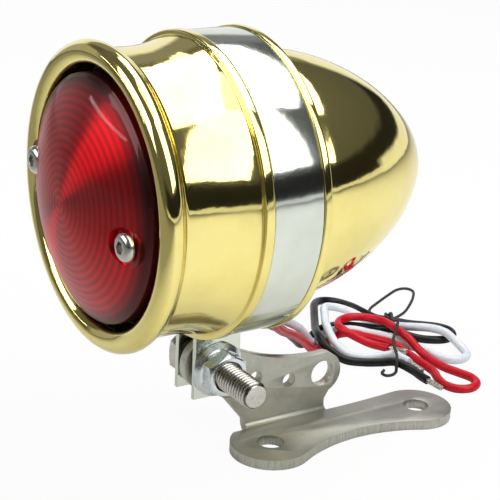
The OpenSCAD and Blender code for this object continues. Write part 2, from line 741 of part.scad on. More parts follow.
module base_plate() color("slategray") place() difference() {
    rod_y(plate_front_y, base_t, neck_in - seat_gap);
    rod_y(plate_front_y - 1, base_t + 2, socket_out + seat_gap);
    at_lens_screws() rod_y(plate_front_y - 1, base_t + 2, post_foot_r + seat_gap);
    around(plate_screw_angles) rod_y(plate_front_y - 1, base_t + 2, small_screw_d / 2 + seat_gap, lug_out);
    for (x = [-rivet_out, rivet_out])
        rod_y(plate_front_y - 1, base_t + 2, rivet_r + seat_gap, x);
    rod_y(plate_front_y - 1, base_t + 2, small_screw_d / 2 + seat_gap, 0, earth_z);
}

module plate_screws() color("silver") place() around(plate_screw_angles) {
    rod_y(plate_front_y, base_t + lug_len - 1, small_screw_d / 2, lug_out);
    rod_y(plate_front_y - small_head_h, small_head_h, small_head_r, lug_out);
}

module lens() color("crimson", 0.8) place() difference() {
    union() {
        spin() polygon(concat(
            [for (i = [0:lens_steps]) let (r = lens_r * i / lens_steps) [r, dome_at(r, dome_r)]],
            [[lens_r, skirt_end_y], [lens_r - lens_t, skirt_end_y]],
            [for (k = [0:ring_count - 1]) let (r = lens_r - lens_t - k * ring_pitch)
                each [
                    [r, dome_at(r, dome_r - lens_t)],
                    [r - 0.4 * ring_pitch, dome_at(r - 0.4 * ring_pitch, dome_r - lens_t) + ring_h]
                ]],
            [[0, dome_at(0, dome_r - lens_t)]]
        ));
        at_lens_screws() rod_y(seat_y, boss_len, boss_r);
    }
    at_lens_screws() {
        rod_y(seat_y - 2 * dome_h, 2 * dome_h, recess_r);
        rod_y(seat_y - 1, boss_len + 2, screw_d / 2 + 0.2);
    }
}

module lens_gasket() color("black") place()
    spin() section(lens_r - lens_t - 0.6, lens_r + 1.5, skirt_end_y, gasket_end_y);

module lens_posts() color("gainsboro") place() at_lens_screws() difference() {
    union() {
        rod_y(post_y, plate_front_y - post_y, post_r);
        rod_y(plate_front_y, base_t, post_foot_r);
        rod_y(plate_rear_y, rivet_head, post_r);
    }
    rod_y(post_y - 1, seat_y + screw_len - post_y + thread_spare + 1, screw_d / 2 + seat_gap);
}

module lens_screws() color("silver") place() at_lens_screws() difference() {
    union() {
        rod_y(seat_y, screw_len, screw_d / 2);
        translate([0, seat_y, 0]) rotate([90, 0, 0]) rotate_extrude() polygon(concat(
            [[0, 0], [screw_head_d / 2, 0], [screw_head_d / 2, 0.25 * screw_head_h]],
            [for (a = [15:15:75]) [
                screw_head_d / 2 * (0.5 + 0.5 * cos(a)),
                screw_head_h * (0.25 + 0.75 * sin(a))
            ]],
            [[screw_head_d / 4, screw_head_h], [0, screw_head_h]]
        ));
    }
    translate([0, seat_y - screw_head_h - 1, 0]) rotate([-90, 0, 0])
        cylinder(h = 1 + 0.65 * screw_head_h, r = screw_socket / sqrt(3), $fn = 6);
}

// Quarter ellipse from the reflector's foot to its mouth
function reflector_curve(foot_r, foot_y, mouth_r, mouth_y) = [
    for (i = [0:reflector_steps]) let (a = 90 * i / reflector_steps)
        [foot_r + (mouth_r - foot_r) * sin(a), foot_y + (mouth_y - foot_y) * (1 - cos(a))]
];

module reflector() color("whitesmoke") place() difference() {
    spin() {
        polygon(concat(
            reflector_curve(reflector_foot_r, plate_front_y - reflector_t, reflector_mouth_r, gasket_end_y),
            reversed(reflector_curve(reflector_foot_r, plate_front_y,
                reflector_mouth_r + reflector_t, gasket_end_y))
        ));
        section(reflector_mouth_r, flange_r, gasket_end_y, gasket_end_y + reflector_t);
    }
    at_lens_screws() rod_y(gasket_end_y - 1, plate_front_y - gasket_end_y + 2, post_r + 0.6);
}

// Half section of the bulb's glass, from its neck over the globe to the axis
function glass_curve(r, neck) = concat(
    [[neck, bulb_front_y], [neck, bulb_front_y - 3]],
    [for (a = [125:-12.5:0]) [r * sin(a), bulb_mid_y - r * cos(a)]]
);

module bulb_glass() color("lightblue", 0.5) place() spin() polygon(concat(
    glass_curve(bulb_r, bulb_neck_r),
    reversed(glass_curve(bulb_r - glass_t, bulb_neck_r - glass_t))
));

module bulb_base() color("peru") place() {
    rod_y(bulb_front_y, bulb_base_len, bulb_base_r);
    rod_x(-bulb_base_r - pin_out, bulb_base_r + pin_out, pin_r, pin_y);
    rod_x(0, bulb_base_r + pin_out, pin_r, pin_y + pin_stagger);
    for (x = [-contact_x, contact_x])
        rod_y(base_rear_y, dot_h, dot_r, x);
}

module filaments() color("orange") place() {
    rod_y(bulb_front_y - stem_len, stem_len, stem_r);
    for (filament = [[bulb_mid_y + 1, 1.5], [bulb_mid_y - 2, -1.5]]) {
        rod_x(-filament_half, 2 * filament_half, filament_r, filament[0], filament[1]);
        for (side = [-1, 1])
            rod(
                [side * stem_r / 2, bulb_front_y - stem_len + 1, filament[1] / 2],
                [side * (filament_half - support_r), filament[0], filament[1]],
                support_r
            );
    }
}

// One bayonet slot: entry from the front, a turn, and the short leg where the pin rests
module bayonet_slot(y, angle) {
    rear = y + push + slot_half;
    leg_end = rear - 0.05;
    around([angle])
        translate([socket_in - 1, y - slot_half, -slot_half])
            cube([socket_t + 3, leg_end - y + slot_half, 2 * slot_half]);
    around([angle + slot_turn])
        translate([socket_in - 1, socket_front_y - 1, -slot_half])
            cube([socket_t + 3, leg_end - socket_front_y + 1, 2 * slot_half]);
    rotate([-90, 0, 0]) rotate([0, 0, -angle - slot_turn - slot_over])
        rotate_extrude(angle = slot_turn + 2 * slot_over)
            section(socket_in - 1, socket_out + 2, rear - 2 * slot_half, rear);
}

module socket_shell() color("lightgray") place() difference() {
    spin() {
        section(socket_in, socket_out, socket_front_y, socket_wall_y + socket_t);
        section(socket_out - 0.1, socket_flange_r, plate_rear_y, plate_rear_y + socket_flange_t);
        section(contact_x + tail_r + 0.6, socket_in + 0.1, socket_wall_y, socket_wall_y + socket_t);
    }
    bayonet_slot(pin_y, 180);
    bayonet_slot(pin_y + pin_stagger, 0);
    for (x = [-rivet_out, rivet_out])
        rod_y(plate_rear_y - 1, socket_flange_t + 2, rivet_r + seat_gap, x);
}

module socket_rivets() color("silver") place() for (x = [-rivet_out, rivet_out]) {
    rod_y(plate_front_y, base_t + socket_flange_t, rivet_r, x);
    rod_y(plate_front_y - rivet_head, rivet_head, 1.8 * rivet_r, x);
    rod_y(plate_rear_y + socket_flange_t, rivet_head, 1.8 * rivet_r, x);
}

module contact_carrier() color("saddlebrown") place() difference() {
    rod_y(carrier_y, carrier_t, socket_in - side_gap);
    for (x = [-contact_x, contact_x])
        rod_y(carrier_y - 1, carrier_t + 2, tail_r, x);
}

module contact_pins() color("gold") place() for (x = [-contact_x, contact_x]) {
    rod_y(base_rear_y + dot_h, carrier_y - base_rear_y - dot_h, dot_r, x);
    rod_y(carrier_y, tail_end_y - carrier_y, tail_r, x);
}

// Coil of the contact spring, its two ends brought round flat
module contact_spring() color("silver") place() {
    rings = 24;
    low = spring_y + spring_wire / 2 + seat_gap;
    rise = spring_len - spring_wire - 2 * seat_gap;
    path = [
        for (i = [0:spring_turns * rings])
            let (a = 360 * i / rings, t = i / (spring_turns * rings))
                [spring_r * cos(a), low + rise * t, spring_r * sin(a)]
    ];
    tube(path, spring_wire, 6);
    echo(spring_self_gap = rise / spring_turns - spring_wire);
}

module lead_terminals() color("tan") place() for (x = [-contact_x, contact_x])
    difference() {
        rod_y(terminal_y, terminal_len, terminal_r, x);
        rod_y(terminal_y - 1, tail_end_y - terminal_y + push + 1.5, tail_r + tail_gap, x);
    }

module ground_terminal() color("tan") place() difference() {
    union() {
        rod_y(plate_rear_y, earth_ring_t, earth_ring_r, 0, earth_z);
        translate([-barrel_r, plate_rear_y, earth_z])
            cube([2 * barrel_r, earth_ring_t, barrel_z - earth_z]);
        rod_y(plate_rear_y, barrel_end_y - plate_rear_y, barrel_r, 0, barrel_z);
    }
    rod_y(plate_rear_y - 1, earth_ring_t + 2, small_screw_d / 2 + seat_gap, 0, earth_z);
}

module ground_screw() color("silver") place() {
    rod_y(plate_rear_y + earth_ring_t, small_head_h, small_head_r, 0, earth_z);
    rod_y(plate_front_y - 1, base_t + earth_ring_t + 1, small_screw_d / 2, 0, earth_z);
}

module wire_grommet() color("black") place() difference() {
    translate([0, exit_y, 0]) {
        translate([0, 0, -grommet_out])
            cylinder(h = grommet_out - grommet_in + grommet_inner_t, r = grommet_hole_r - seat_gap);
        translate([0, 0, exit_z])
            cylinder(h = grommet_flange_t, r1 = grommet_flange_r - 0.6, r2 = grommet_flange_r);
        translate([0, 0, -grommet_in]) cylinder(h = grommet_inner_t, r = grommet_inner_r);
    }
    for (spot = exit_spots)
        translate([spot[0], spot[1], exit_z - 1]) cylinder(h = grommet_out, r = wire_d / 2);
}

module inner_leads() color("maroon") place() {
    for (lead = inner_routes)
        tube(route(lead, 2), wire_d - 2 * seat_gap);
}

// Least distance between a route's points that lie more than a few diameters apart along it
function self_gap(path, skip, width) = min([
    for (i = [0:len(path) - 1]) for (j = [i + skip:1:len(path) - 1]) norm(path[i] - path[j]) - width
]);

module wire_black() color("black") {
    path = route(black_route, 2);
    tube(path, wire_d);
    echo(black_self_gap = self_gap(path, 6, wire_d));
}

module wire_white() color("white") {
    path = route(white_route, 2);
    tube(path, wire_d);
    echo(white_self_gap = self_gap(path, 6, wire_d));
}

module wire_red() color("red") {
    path = route(red_route, 2);
    tube(path, wire_d);
    echo(red_self_gap = self_gap(path, 6, wire_d));
}

module wire_strands() color("silver")
    for (line = [black_route, white_route, red_route]) {
        path = route(line, 2);
        last = path[len(path) - 1];
        along = tangent(path, len(path) - 1);
        side = square_to([0, 0, 1], along);
        over = cross(along, side);
        for (angle = [45:90:315]) {
            start = last + strand_out * (cos(angle) * side + sin(angle) * over);
            rod(start, start + strand_len * along, strand_d / 2);
        }
    }

module wire_tie() color("black") {
    tube(route(tie_route, 2), tie_d);
    tube(route(big_loop_route, 2), tie_d);
    tube(route(small_loop_route, 3), tie_d);
    for (spot = knot_spots)
        translate(spot) sphere(r = knot_r);
}

bracket();
clamp_band();
clamp_bolt();
clamp_nut();
spacers();
front_shell();
rear_shell();
join_sleeve();
shell_screws();
base_plate();
plate_screws();
lens();
lens_gasket();
lens_posts();
lens_screws();
reflector();
bulb_glass();
bulb_base();
filaments();
socket_shell();
socket_rivets();
contact_carrier();
contact_pins();
contact_spring();
lead_terminals();
ground_terminal();
ground_screw();
inner_leads();
wire_grommet();
wire_black();
wire_white();
wire_red();
wire_strands();
wire_tie();
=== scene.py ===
"""Looks of a brass motorcycle tail light in its clamp band and bracket. Metres, Z up, lens towards -Y."""

import json
import math

import bmesh
import bpy
from mathutils import Matrix, Vector


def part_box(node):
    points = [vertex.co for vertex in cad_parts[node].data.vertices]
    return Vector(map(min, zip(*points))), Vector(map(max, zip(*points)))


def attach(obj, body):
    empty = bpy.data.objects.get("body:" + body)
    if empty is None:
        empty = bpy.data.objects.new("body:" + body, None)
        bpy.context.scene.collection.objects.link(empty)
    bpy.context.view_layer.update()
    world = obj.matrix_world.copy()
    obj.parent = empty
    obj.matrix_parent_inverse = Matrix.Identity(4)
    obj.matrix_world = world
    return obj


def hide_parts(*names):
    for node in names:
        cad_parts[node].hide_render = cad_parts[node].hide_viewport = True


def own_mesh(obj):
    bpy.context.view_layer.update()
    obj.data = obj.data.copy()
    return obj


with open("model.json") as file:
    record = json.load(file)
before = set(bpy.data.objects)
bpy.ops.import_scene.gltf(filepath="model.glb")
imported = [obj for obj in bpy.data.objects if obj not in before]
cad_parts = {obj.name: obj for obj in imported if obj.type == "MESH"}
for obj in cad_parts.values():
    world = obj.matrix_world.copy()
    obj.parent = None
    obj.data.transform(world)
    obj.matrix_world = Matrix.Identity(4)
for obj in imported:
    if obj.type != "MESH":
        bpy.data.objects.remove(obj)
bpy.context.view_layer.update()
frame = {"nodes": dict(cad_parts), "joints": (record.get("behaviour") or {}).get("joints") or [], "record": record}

MM = 0.001
joints = {joint["name"]: joint for joint in frame["joints"]}
LAMP = Vector(joints["lamp_roll"]["pos_m"])
BOLT = Vector(joints["lamp_tilt"]["pos_m"])
scene = bpy.context.scene

# The photograph's view: angles, and metres from the middle of the clamp band
VIEW_AZIMUTH = math.radians(56.71)
VIEW_HEIGHT = math.radians(20)
VIEW_ROLL = math.radians(2.86)
VIEW_DISTANCE = 408.32 * MM
VIEW_RIGHT = 9.674 * MM
VIEW_UP = -18.543 * MM
# Focal length and width of the sensor, in millimetres
VIEW_LENS = 108
VIEW_SENSOR = 36


def make_camera():
    back = Vector((
        math.sin(VIEW_AZIMUTH) * math.cos(VIEW_HEIGHT),
        -math.cos(VIEW_AZIMUTH) * math.cos(VIEW_HEIGHT),
        math.sin(VIEW_HEIGHT),
    ))
    level = (-back).cross(Vector((0, 0, 1))).normalized()
    rise = level.cross(-back)
    right = level * math.cos(VIEW_ROLL) + rise * math.sin(VIEW_ROLL)
    up = rise * math.cos(VIEW_ROLL) - level * math.sin(VIEW_ROLL)
    data = bpy.data.cameras.new("photo_view")
    data.lens = VIEW_LENS
    data.sensor_width = VIEW_SENSOR
    data.clip_start = 0.01
    camera = bpy.data.objects.new("photo_view", data)
    scene.collection.objects.link(camera)
    turn = Matrix((right, up, back)).transposed().to_4x4()
    spot = LAMP + back * VIEW_DISTANCE + right * VIEW_RIGHT + up * VIEW_UP
    camera.matrix_world = Matrix.Translation(spot) @ turn
    scene.camera = camera


make_camera()

# Sizes that materials and shapes share, in millimetres: the bracket's sheet, the lens and its rings
PLATE_T = 3
LENS_R = 33
RING_PITCH = 1.9

# Materials. Every one is made of nodes on the object's own coordinates, in metres.


class Graph:
    """A node tree and short ways to add nodes to it."""

    def __init__(self, tree, place):
        self.nodes = tree.nodes
        self.links = tree.links
        self.place = self.nodes.new("ShaderNodeTexCoord").outputs[place]

    def stretched(self, stretch):
        node = self.nodes.new("ShaderNodeMapping")
        node.inputs["Scale"].default_value = stretch
        self.links.new(self.place, node.inputs["Vector"])
        return node.outputs["Vector"]

    def noise(self, size, detail=3, roughness=0.5, stretch=(1, 1, 1)):
        """Noise whose features are about size metres across."""
        node = self.nodes.new("ShaderNodeTexNoise")
        node.inputs["Scale"].default_value = 1 / size
        node.inputs["Detail"].default_value = detail
        node.inputs["Roughness"].default_value = roughness
        self.links.new(self.stretched(stretch), node.inputs["Vector"])
        return node.outputs["Fac"]

    def ramp(self, value, *stops):
        """Colour ramp through (position, colour) stops; a colour is a number or three."""
        node = self.nodes.new("ShaderNodeValToRGB")
        elements = node.color_ramp.elements
        while len(elements) < len(stops):
            elements.new(1)
        for element, (position, colour) in zip(elements, stops):
            element.position = position
            three = (colour,) * 3 if isinstance(colour, (int, float)) else tuple(colour)
            element.color = (*three, 1)
        self.links.new(value, node.inputs["Fac"])
        return node.outputs["Color"]

    def mix(self, share, first, second, blend="MIX"):
        node = self.nodes.new("ShaderNodeMix")
        node.data_type = "RGBA"
        node.blend_type = blend
        for value, socket in ((share, 0), (first, 6), (second, 7)):
            if isinstance(value, (int, float)):
                node.inputs[socket].default_value = value
            elif isinstance(value, tuple):
                node.inputs[socket].default_value = (*value, 1)
            else:
                self.links.new(value, node.inputs[socket])
        return node.outputs[2]

    def math(self, operation, first, second=0.0, third=0.0):
        node = self.nodes.new("ShaderNodeMath")
        node.operation = operation
        for index, value in enumerate((first, second, third)):
            if isinstance(value, (int, float)):
                node.inputs[index].default_value = value
            else:
                self.links.new(value, node.inputs[index])
        return node.outputs[0]

    def axis(self, name):
        node = self.nodes.new("ShaderNodeSeparateXYZ")
        self.links.new(self.place, node.inputs[0])
        return node.outputs[name]

    def away(self, **axis):
        """Distance from an axis, given by the two coordinates that it keeps, such as X=0 and Z=0.1."""
        squares = [
            self.math("POWER", self.math("SUBTRACT", self.axis(name), value), 2)
            for name, value in axis.items()
        ]
        return self.math("SQRT", self.math("ADD", *squares))

    def along(self, direction):
        """How far the place lies along a direction."""
        node = self.nodes.new("ShaderNodeVectorMath")
        node.operation = "DOT_PRODUCT"
        node.inputs[1].default_value = direction
        self.links.new(self.place, node.inputs[0])
        return node.outputs["Value"]


class Paint(Graph):
    """A material on the object's own coordinates, around one Principled shader."""

    def __init__(self, name):
        self.material = bpy.data.materials.new(name)
        self.material.use_nodes = True
        super().__init__(self.material.node_tree, "Object")
        self.shader = self.nodes["Principled BSDF"]

    def set(self, **values):
        for name, value in values.items():
            self.shader.inputs[name.replace("_", " ")].default_value = value
        return self

    def link(self, output, socket):
        self.links.new(output, self.shader.inputs[socket])

    def bump(self, height, strength, distance):
        node = self.nodes.new("ShaderNodeBump")
        node.inputs["Strength"].default_value = strength
        node.inputs["Distance"].default_value = distance
        self.links.new(height, node.inputs["Height"])
        self.link(node.outputs["Normal"], "Normal")


def surface(name, dark, light, grain, rough, rough_grain, bump, stretch=(1, 1, 1), **values):
    """Material whose colour and roughness wander between two values over patches of a size.

    Sizes are in millimetres, and the bump is its strength and its size.
    """
    paint = Paint(name).set(**values)
    colour = paint.noise(grain * MM, 4, 0.55, stretch)
    paint.link(paint.ramp(colour, (0.3, dark), (0.7, light)), "Base Color")
    patches = paint.noise(rough_grain * MM, 5, 0.6, stretch)
    paint.link(paint.ramp(patches, (0.3, rough[0]), (0.7, rough[1])), "Roughness")
    strength, size = bump
    paint.bump(paint.noise(size * MM, 4, 0.6, stretch), strength, size * MM)
    return paint.material


def metal(*looks):
    return surface(*looks, Metallic=1.0)


def polished_brass():
    paint = Paint("polished_brass").set(Metallic=1.0)
    tarnish = paint.noise(14 * MM, 5, 0.6)
    base = paint.ramp(tarnish, (0.25, (0.85, 0.72, 0.24)), (0.6, (0.93, 0.81, 0.31)))
    specks = paint.noise(0.5 * MM, 2, 0.5)
    paint.link(paint.mix(paint.ramp(specks, (0.68, 0.0), (0.8, 0.35)), base, (0.62, 0.47, 0.2)), "Base Color")
    haze = paint.ramp(paint.noise(9 * MM, 6, 0.65), (0.35, 0.045), (0.75, 0.12))
    lines = paint.ramp(paint.noise(1.2 * MM, 3, 0.6, (1, 14, 1)), (0.4, 0.04), (0.7, 0.13))
    paint.link(paint.mix(0.35, haze, lines), "Roughness")
    ripple = paint.noise(5 * MM, 2, 0.4)
    paint.bump(ripple, 0.035, 1.5 * MM)
    return paint.material


def band_steel():
    paint = Paint("band_steel").set(Metallic=1.0)
    tone = paint.noise(10 * MM, 4, 0.5)
    paint.link(paint.ramp(tone, (0.3, (0.64, 0.68, 0.6)), (0.7, (0.73, 0.77, 0.69))), "Base Color")
    scratches = paint.noise(0.9 * MM, 4, 0.7, (1, 25, 1))
    paint.link(paint.ramp(scratches, (0.35, 0.05), (0.75, 0.17)), "Roughness")
    paint.bump(paint.noise(6 * MM, 2, 0.5), 0.03, 1.5 * MM)
    return paint.material


def bracket_steel(name, grain_stretch, is_cut):
    """Satin sheet, or its cut edge, where the marks of the cut run across the sheet.

    Painted shade: the sheet is painted darker towards the back, over the first 34 mm of Y, and in front the foot
    is painted darker than the plate.
    """
    paint = Paint(name).set(Metallic=1.0)
    cloud = paint.noise(6 * MM, 6, 0.65)
    fine = paint.noise(0.6 * MM, 3, 0.6, grain_stretch)
    # Painted shade: the back of the sheet takes a darker copy of its colour
    back_shade = paint.ramp(paint.axis("Y"), (0, 0.0), (34 * MM, 1.0))
    near_colour = paint.ramp(cloud, (0.3, (0.47, 0.47, 0.41)), (0.7, (0.61, 0.61, 0.54)))
    shaded_back_colour = paint.ramp(cloud, (0.3, (0.34, 0.32, 0.3)), (0.7, (0.46, 0.44, 0.41)))
    # Painted shade: the foot, below the plate, is painted darker by a third
    low = paint.ramp(paint.axis("Z"), (PLATE_T * MM, 1.0), (2 * PLATE_T * MM, 0.0))
    near_colour = paint.mix(low, near_colour, (0.68, 0.68, 0.68), "MULTIPLY")
    tone = paint.mix(back_shade, near_colour, shaded_back_colour)
    if is_cut:
        tone = paint.mix(paint.ramp(fine, (0.35, 0.0), (0.7, 0.7)), tone, (0.72, 0.73, 0.66))
        paint.link(paint.ramp(fine, (0.3, 0.28), (0.7, 0.55)), "Roughness")
        paint.bump(fine, 0.5, 0.25 * MM)
    else:
        tone = paint.mix(paint.ramp(fine, (0.4, 0.0), (0.75, 0.25)), tone, (0.34, 0.33, 0.29))
        paint.link(paint.ramp(cloud, (0.3, 0.36), (0.7, 0.5)), "Roughness")
        paint.bump(fine, 0.12, 0.12 * MM)
    paint.link(tone, "Base Color")
    return paint.material


def red_lens():
    """Clear red plastic. Its inner rings throw the light out in fans. Dark lines at the rings and the darker band
    at its thick edge are painted shade.
    """
    paint = Paint("red_lens").set(Transmission_Weight=0.92, IOR=1.49, Specular_IOR_Level=0.0)
    paint.set(Metallic=0.62, Anisotropic=1.0, Anisotropic_Rotation=0.25)
    paint.set(Coat_Weight=0.32, Coat_Roughness=0.03, Coat_IOR=1.49)
    rings = paint.nodes.new("ShaderNodeTangent")
    rings.direction_type = "RADIAL"
    rings.axis = "Y"
    paint.link(rings.outputs["Tangent"], "Tangent")
    cloud = paint.noise(12 * MM, 3, 0.5)
    body = paint.ramp(cloud, (0.3, (0.93, 0.004, 0.012)), (0.7, (1.0, 0.008, 0.018)))
    out = paint.away(X=LAMP.x, Z=LAMP.z)
    # Painted shade: dark lines in the colour, one a ring's pitch apart
    ring = paint.math("PINGPONG", paint.math("MULTIPLY", out, 1 / (RING_PITCH * MM)), 0.5)
    ring_shaded = paint.mix(paint.ramp(ring, (0.0, 0.0), (0.5, 0.75)), body, (0.4, 0.001, 0.004))
    # Painted shade: the lens is painted near black towards its edge
    edge = paint.ramp(paint.math("MULTIPLY", out, 1 / (LENS_R * MM)), (0.84, 0.0), (0.96, 1.0))
    paint.link(paint.mix(edge, ring_shaded, (0.12, 0.001, 0.002)), "Base Color")
    smear = paint.noise(7 * MM, 5, 0.6)
    paint.link(paint.ramp(smear, (0.4, 0.34), (0.8, 0.4)), "Roughness")
    return paint.material


def clear_glass():
    paint = Paint("bulb_glass").set(Transmission_Weight=1.0, IOR=1.45)
    cloud = paint.noise(5 * MM, 3, 0.5)
    paint.link(paint.ramp(cloud, (0.3, (0.95, 0.96, 0.95)), (0.7, (1.0, 1.0, 1.0))), "Base Color")
    paint.link(paint.ramp(cloud, (0.3, 0.0), (0.8, 0.02)), "Roughness")
    return paint.material


def lead_covers():
    """Black, red and white covers, told apart by the side of the lamp's axis they lie on."""
    paint = Paint("lead_covers")
    side = paint.math("SUBTRACT", paint.axis("X"), LAMP.x)
    apart = 1 * MM
    is_red = paint.math("GREATER_THAN", side, apart)
    is_white = paint.math("LESS_THAN", side, -apart)
    cloud = paint.noise(2 * MM)
    black = paint.ramp(cloud, (0.3, (0.012, 0.012, 0.013)), (0.7, (0.02, 0.02, 0.021)))
    colour = paint.mix(is_red, black, (0.55, 0.02, 0.03))
    paint.link(paint.mix(is_white, colour, (0.78, 0.79, 0.8)), "Base Color")
    paint.link(paint.ramp(cloud, (0.3, 0.35), (0.7, 0.45)), "Roughness")
    return paint.material


def tie_thread():
    paint = Paint("tie_thread")
    twist = paint.noise(0.35 * MM, 3, 0.7, (1, 1, 2))
    paint.link(paint.ramp(twist, (0.3, (0.008, 0.008, 0.009)), (0.7, (0.03, 0.03, 0.032))), "Base Color")
    paint.link(paint.ramp(twist, (0.3, 0.5), (0.7, 0.75)), "Roughness")
    paint.bump(twist, 0.6, 0.15 * MM)
    return paint.material


BRASS = polished_brass()
BAND = band_steel()
SHEET = bracket_steel("bracket_sheet", (1, 1, 1), is_cut=False)
FOOT_CUT = bracket_steel("foot_cut_edge", (1.6, 1.6, 0.12), is_cut=True)
PLATE_CUT = bracket_steel("plate_cut_edge", (0.12, 1.6, 1.6), is_cut=True)
# Dark and light colour and the size of their patches, roughness and the size of its patches, bump
NICKEL = metal("nickel_steel", (0.58, 0.56, 0.52), (0.72, 0.71, 0.67), 3, (0.12, 0.26), 1.2, (0.08, 0.5))
# Inside of the front shell: rough brass, coloured near black as painted shade
SHADED_INSIDE_BRASS = metal("dull_brass", (0.05, 0.04, 0.02), (0.11, 0.085, 0.04), 4, (0.45, 0.65), 2, (0.1, 0.5))
ZINC = metal("zinc_steel", (0.62, 0.67, 0.69), (0.76, 0.8, 0.8), 2.5, (0.14, 0.32), 1.5, (0.1, 0.5))
# The spacers' steel is coloured near black as painted shade of the gap between the ears
SHADED_SPACER_STEEL = metal("dark_steel", (0.07, 0.065, 0.06), (0.14, 0.135, 0.125), 2, (0.3, 0.5), 1, (0.15, 0.4))
PLATE_STEEL = metal("plate_steel", (0.6, 0.61, 0.6), (0.74, 0.74, 0.72), 5, (0.2, 0.36), 2, (0.06, 0.6))
MIRROR = metal("bright_reflector", (0.88, 0.88, 0.87), (0.94, 0.94, 0.93), 8, (0.3, 0.42), 4, (0.04, 2))
RUBBER = surface("black_rubber", (0.012,) * 3, (0.028, 0.027, 0.027), 1.5, (0.5, 0.68), 1, (0.25, 0.3))
BULB_BRASS = metal("bulb_brass", (0.62, 0.45, 0.2), (0.78, 0.6, 0.3), 3, (0.2, 0.38), 1.5, (0.08, 0.5))
TUNGSTEN = metal("filament_wire", (0.3, 0.3, 0.31), (0.5, 0.5, 0.5), 1, (0.3, 0.45), 0.6, (0.2, 0.2))
BOARD = surface(
    "carrier_board", (0.2, 0.1, 0.045), (0.3, 0.16, 0.07), 1.2, (0.45, 0.6), 0.8, (0.2, 0.3),
    stretch=(1, 1, 4),
)
TINNED = metal("tinned_copper", (0.6, 0.56, 0.5), (0.78, 0.76, 0.72), 0.8, (0.2, 0.38), 0.5, (0.2, 0.2))
WIRE_BLACK = surface(
    "wire_black_cover", (0.004, 0.004, 0.005), (0.011, 0.011, 0.012), 3, (0.26, 0.4), 2, (0.06, 0.5),
    Specular_IOR_Level=0.28,
)
WIRE_WHITE = surface(
    "wire_white_cover", (0.66, 0.71, 0.79), (0.76, 0.8, 0.87), 4, (0.3, 0.44), 2, (0.06, 0.5)
)
WIRE_RED = surface(
    "wire_red_cover", (0.47, 0.002, 0.012), (0.62, 0.006, 0.022), 4, (0.28, 0.42), 2, (0.06, 0.5),
    Specular_IOR_Level=0.28,
)
LENS = red_lens()
GLASS = clear_glass()
LEADS = lead_covers()
THREAD = tie_thread()

NODE_MATERIALS = {
    "bracket": SHEET, "clamp_band": BAND, "clamp_bolt": NICKEL, "clamp_nut": ZINC, "spacers": SHADED_SPACER_STEEL,
    "front_shell": BRASS, "rear_shell": BRASS, "join_sleeve": BRASS, "shell_screws": NICKEL,
    "base_plate": PLATE_STEEL, "plate_screws": ZINC, "lens": LENS, "lens_gasket": RUBBER,
    "lens_posts": ZINC, "lens_screws": NICKEL, "reflector": MIRROR, "bulb_glass": GLASS,
    "bulb_base": BULB_BRASS, "filaments": TUNGSTEN, "socket_shell": PLATE_STEEL, "socket_rivets": ZINC,
    "contact_carrier": BOARD, "contact_pins": BULB_BRASS, "contact_spring": ZINC,
    "lead_terminals": TINNED, "ground_terminal": TINNED, "ground_screw": ZINC, "inner_leads": LEADS,
    "wire_grommet": RUBBER, "wire_black": WIRE_BLACK, "wire_white": WIRE_WHITE, "wire_red": WIRE_RED,
    "wire_strands": TINNED, "wire_tie": THREAD,
}
for name, material in NODE_MATERIALS.items():
    mesh = frame["nodes"][name].data
    mesh.materials.clear()
    mesh.materials.append(material)

NODE_BODIES = {
    node: body for body, nodes in frame["record"]["behaviour"]["bodies"].items() for node in nodes
}


def settle(piece, node, material, sharp=35):
    """The piece stands for a CAD node: it rides on the node's body, and the node is hidden.

    Edges sharper than an angle in degrees stay sharp.
    """
    piece.data.materials.clear()
    piece.data.materials.append(material)
    if piece.type == "MESH":
        piece.data.shade_smooth()
        piece.data.set_sharp_from_angle(angle=math.radians(sharp))
    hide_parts(node)
    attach(piece, NODE_BODIES[node])
    return piece


# Cords. Their routes are those of part.scad, in millimetres in the row frame; diameters are in metres.
WIRE_D = 2.8 * MM
BLACK_ROUTE = [
    (-13.6, -22.9, 42.6), (-13.6, -22.9, 39.6), (-15, -21.6, 36), (-18.8, -18, 31.8), (-25, -11.5, 27),
    (-32.3, -3.2, 21.5), (-39.5, 5, 15.5), (-46, 12.5, 9.5), (-51.8, 18.6, 4.5), (-57.2, 24.6, 1.6),
    (-62, 31.2, 1.5), (-65, 37.4, 1.5), (-64.5, 44.2, 1.5), (-60.6, 49.8, 1.5), (-56.3, 53.8, 1.6),
    (-51.9, 56.5, 2.7), (-47.5, 58.8, 2), (-43, 62, 1.5), (-39.7, 66, 1.5), (-38.4, 70.3, 1.5),
    (-40, 74.3, 1.5), (-44, 76, 1.5), (-48.3, 74.3, 1.5), (-51.8, 70.5, 1.5), (-54.7, 66, 1.8),
    (-58, 61, 2.7), (-63.5, 59.2, 1.8), (-70, 58.8, 1.5), (-76.3, 57.6, 1.8), (-81.2, 53.9, 2.5),
    (-82, 48.2, 3.5), (-78.2, 42.8, 4.6), (-72, 38.3, 4.9), (-65.5, 34, 4.9), (-58.5, 29.5, 5.3),
    (-51.5, 26, 6), (-45.5, 25, 4.6), (-39.5, 27.8, 2), (-35.5, 33, 1.5), (-32, 37.5, 2),
    (-28.7, 41, 2.7), (-23, 43.3, 1.8), (-18, 43.3, 1.5), (-15, 43.3, 1.5),
]
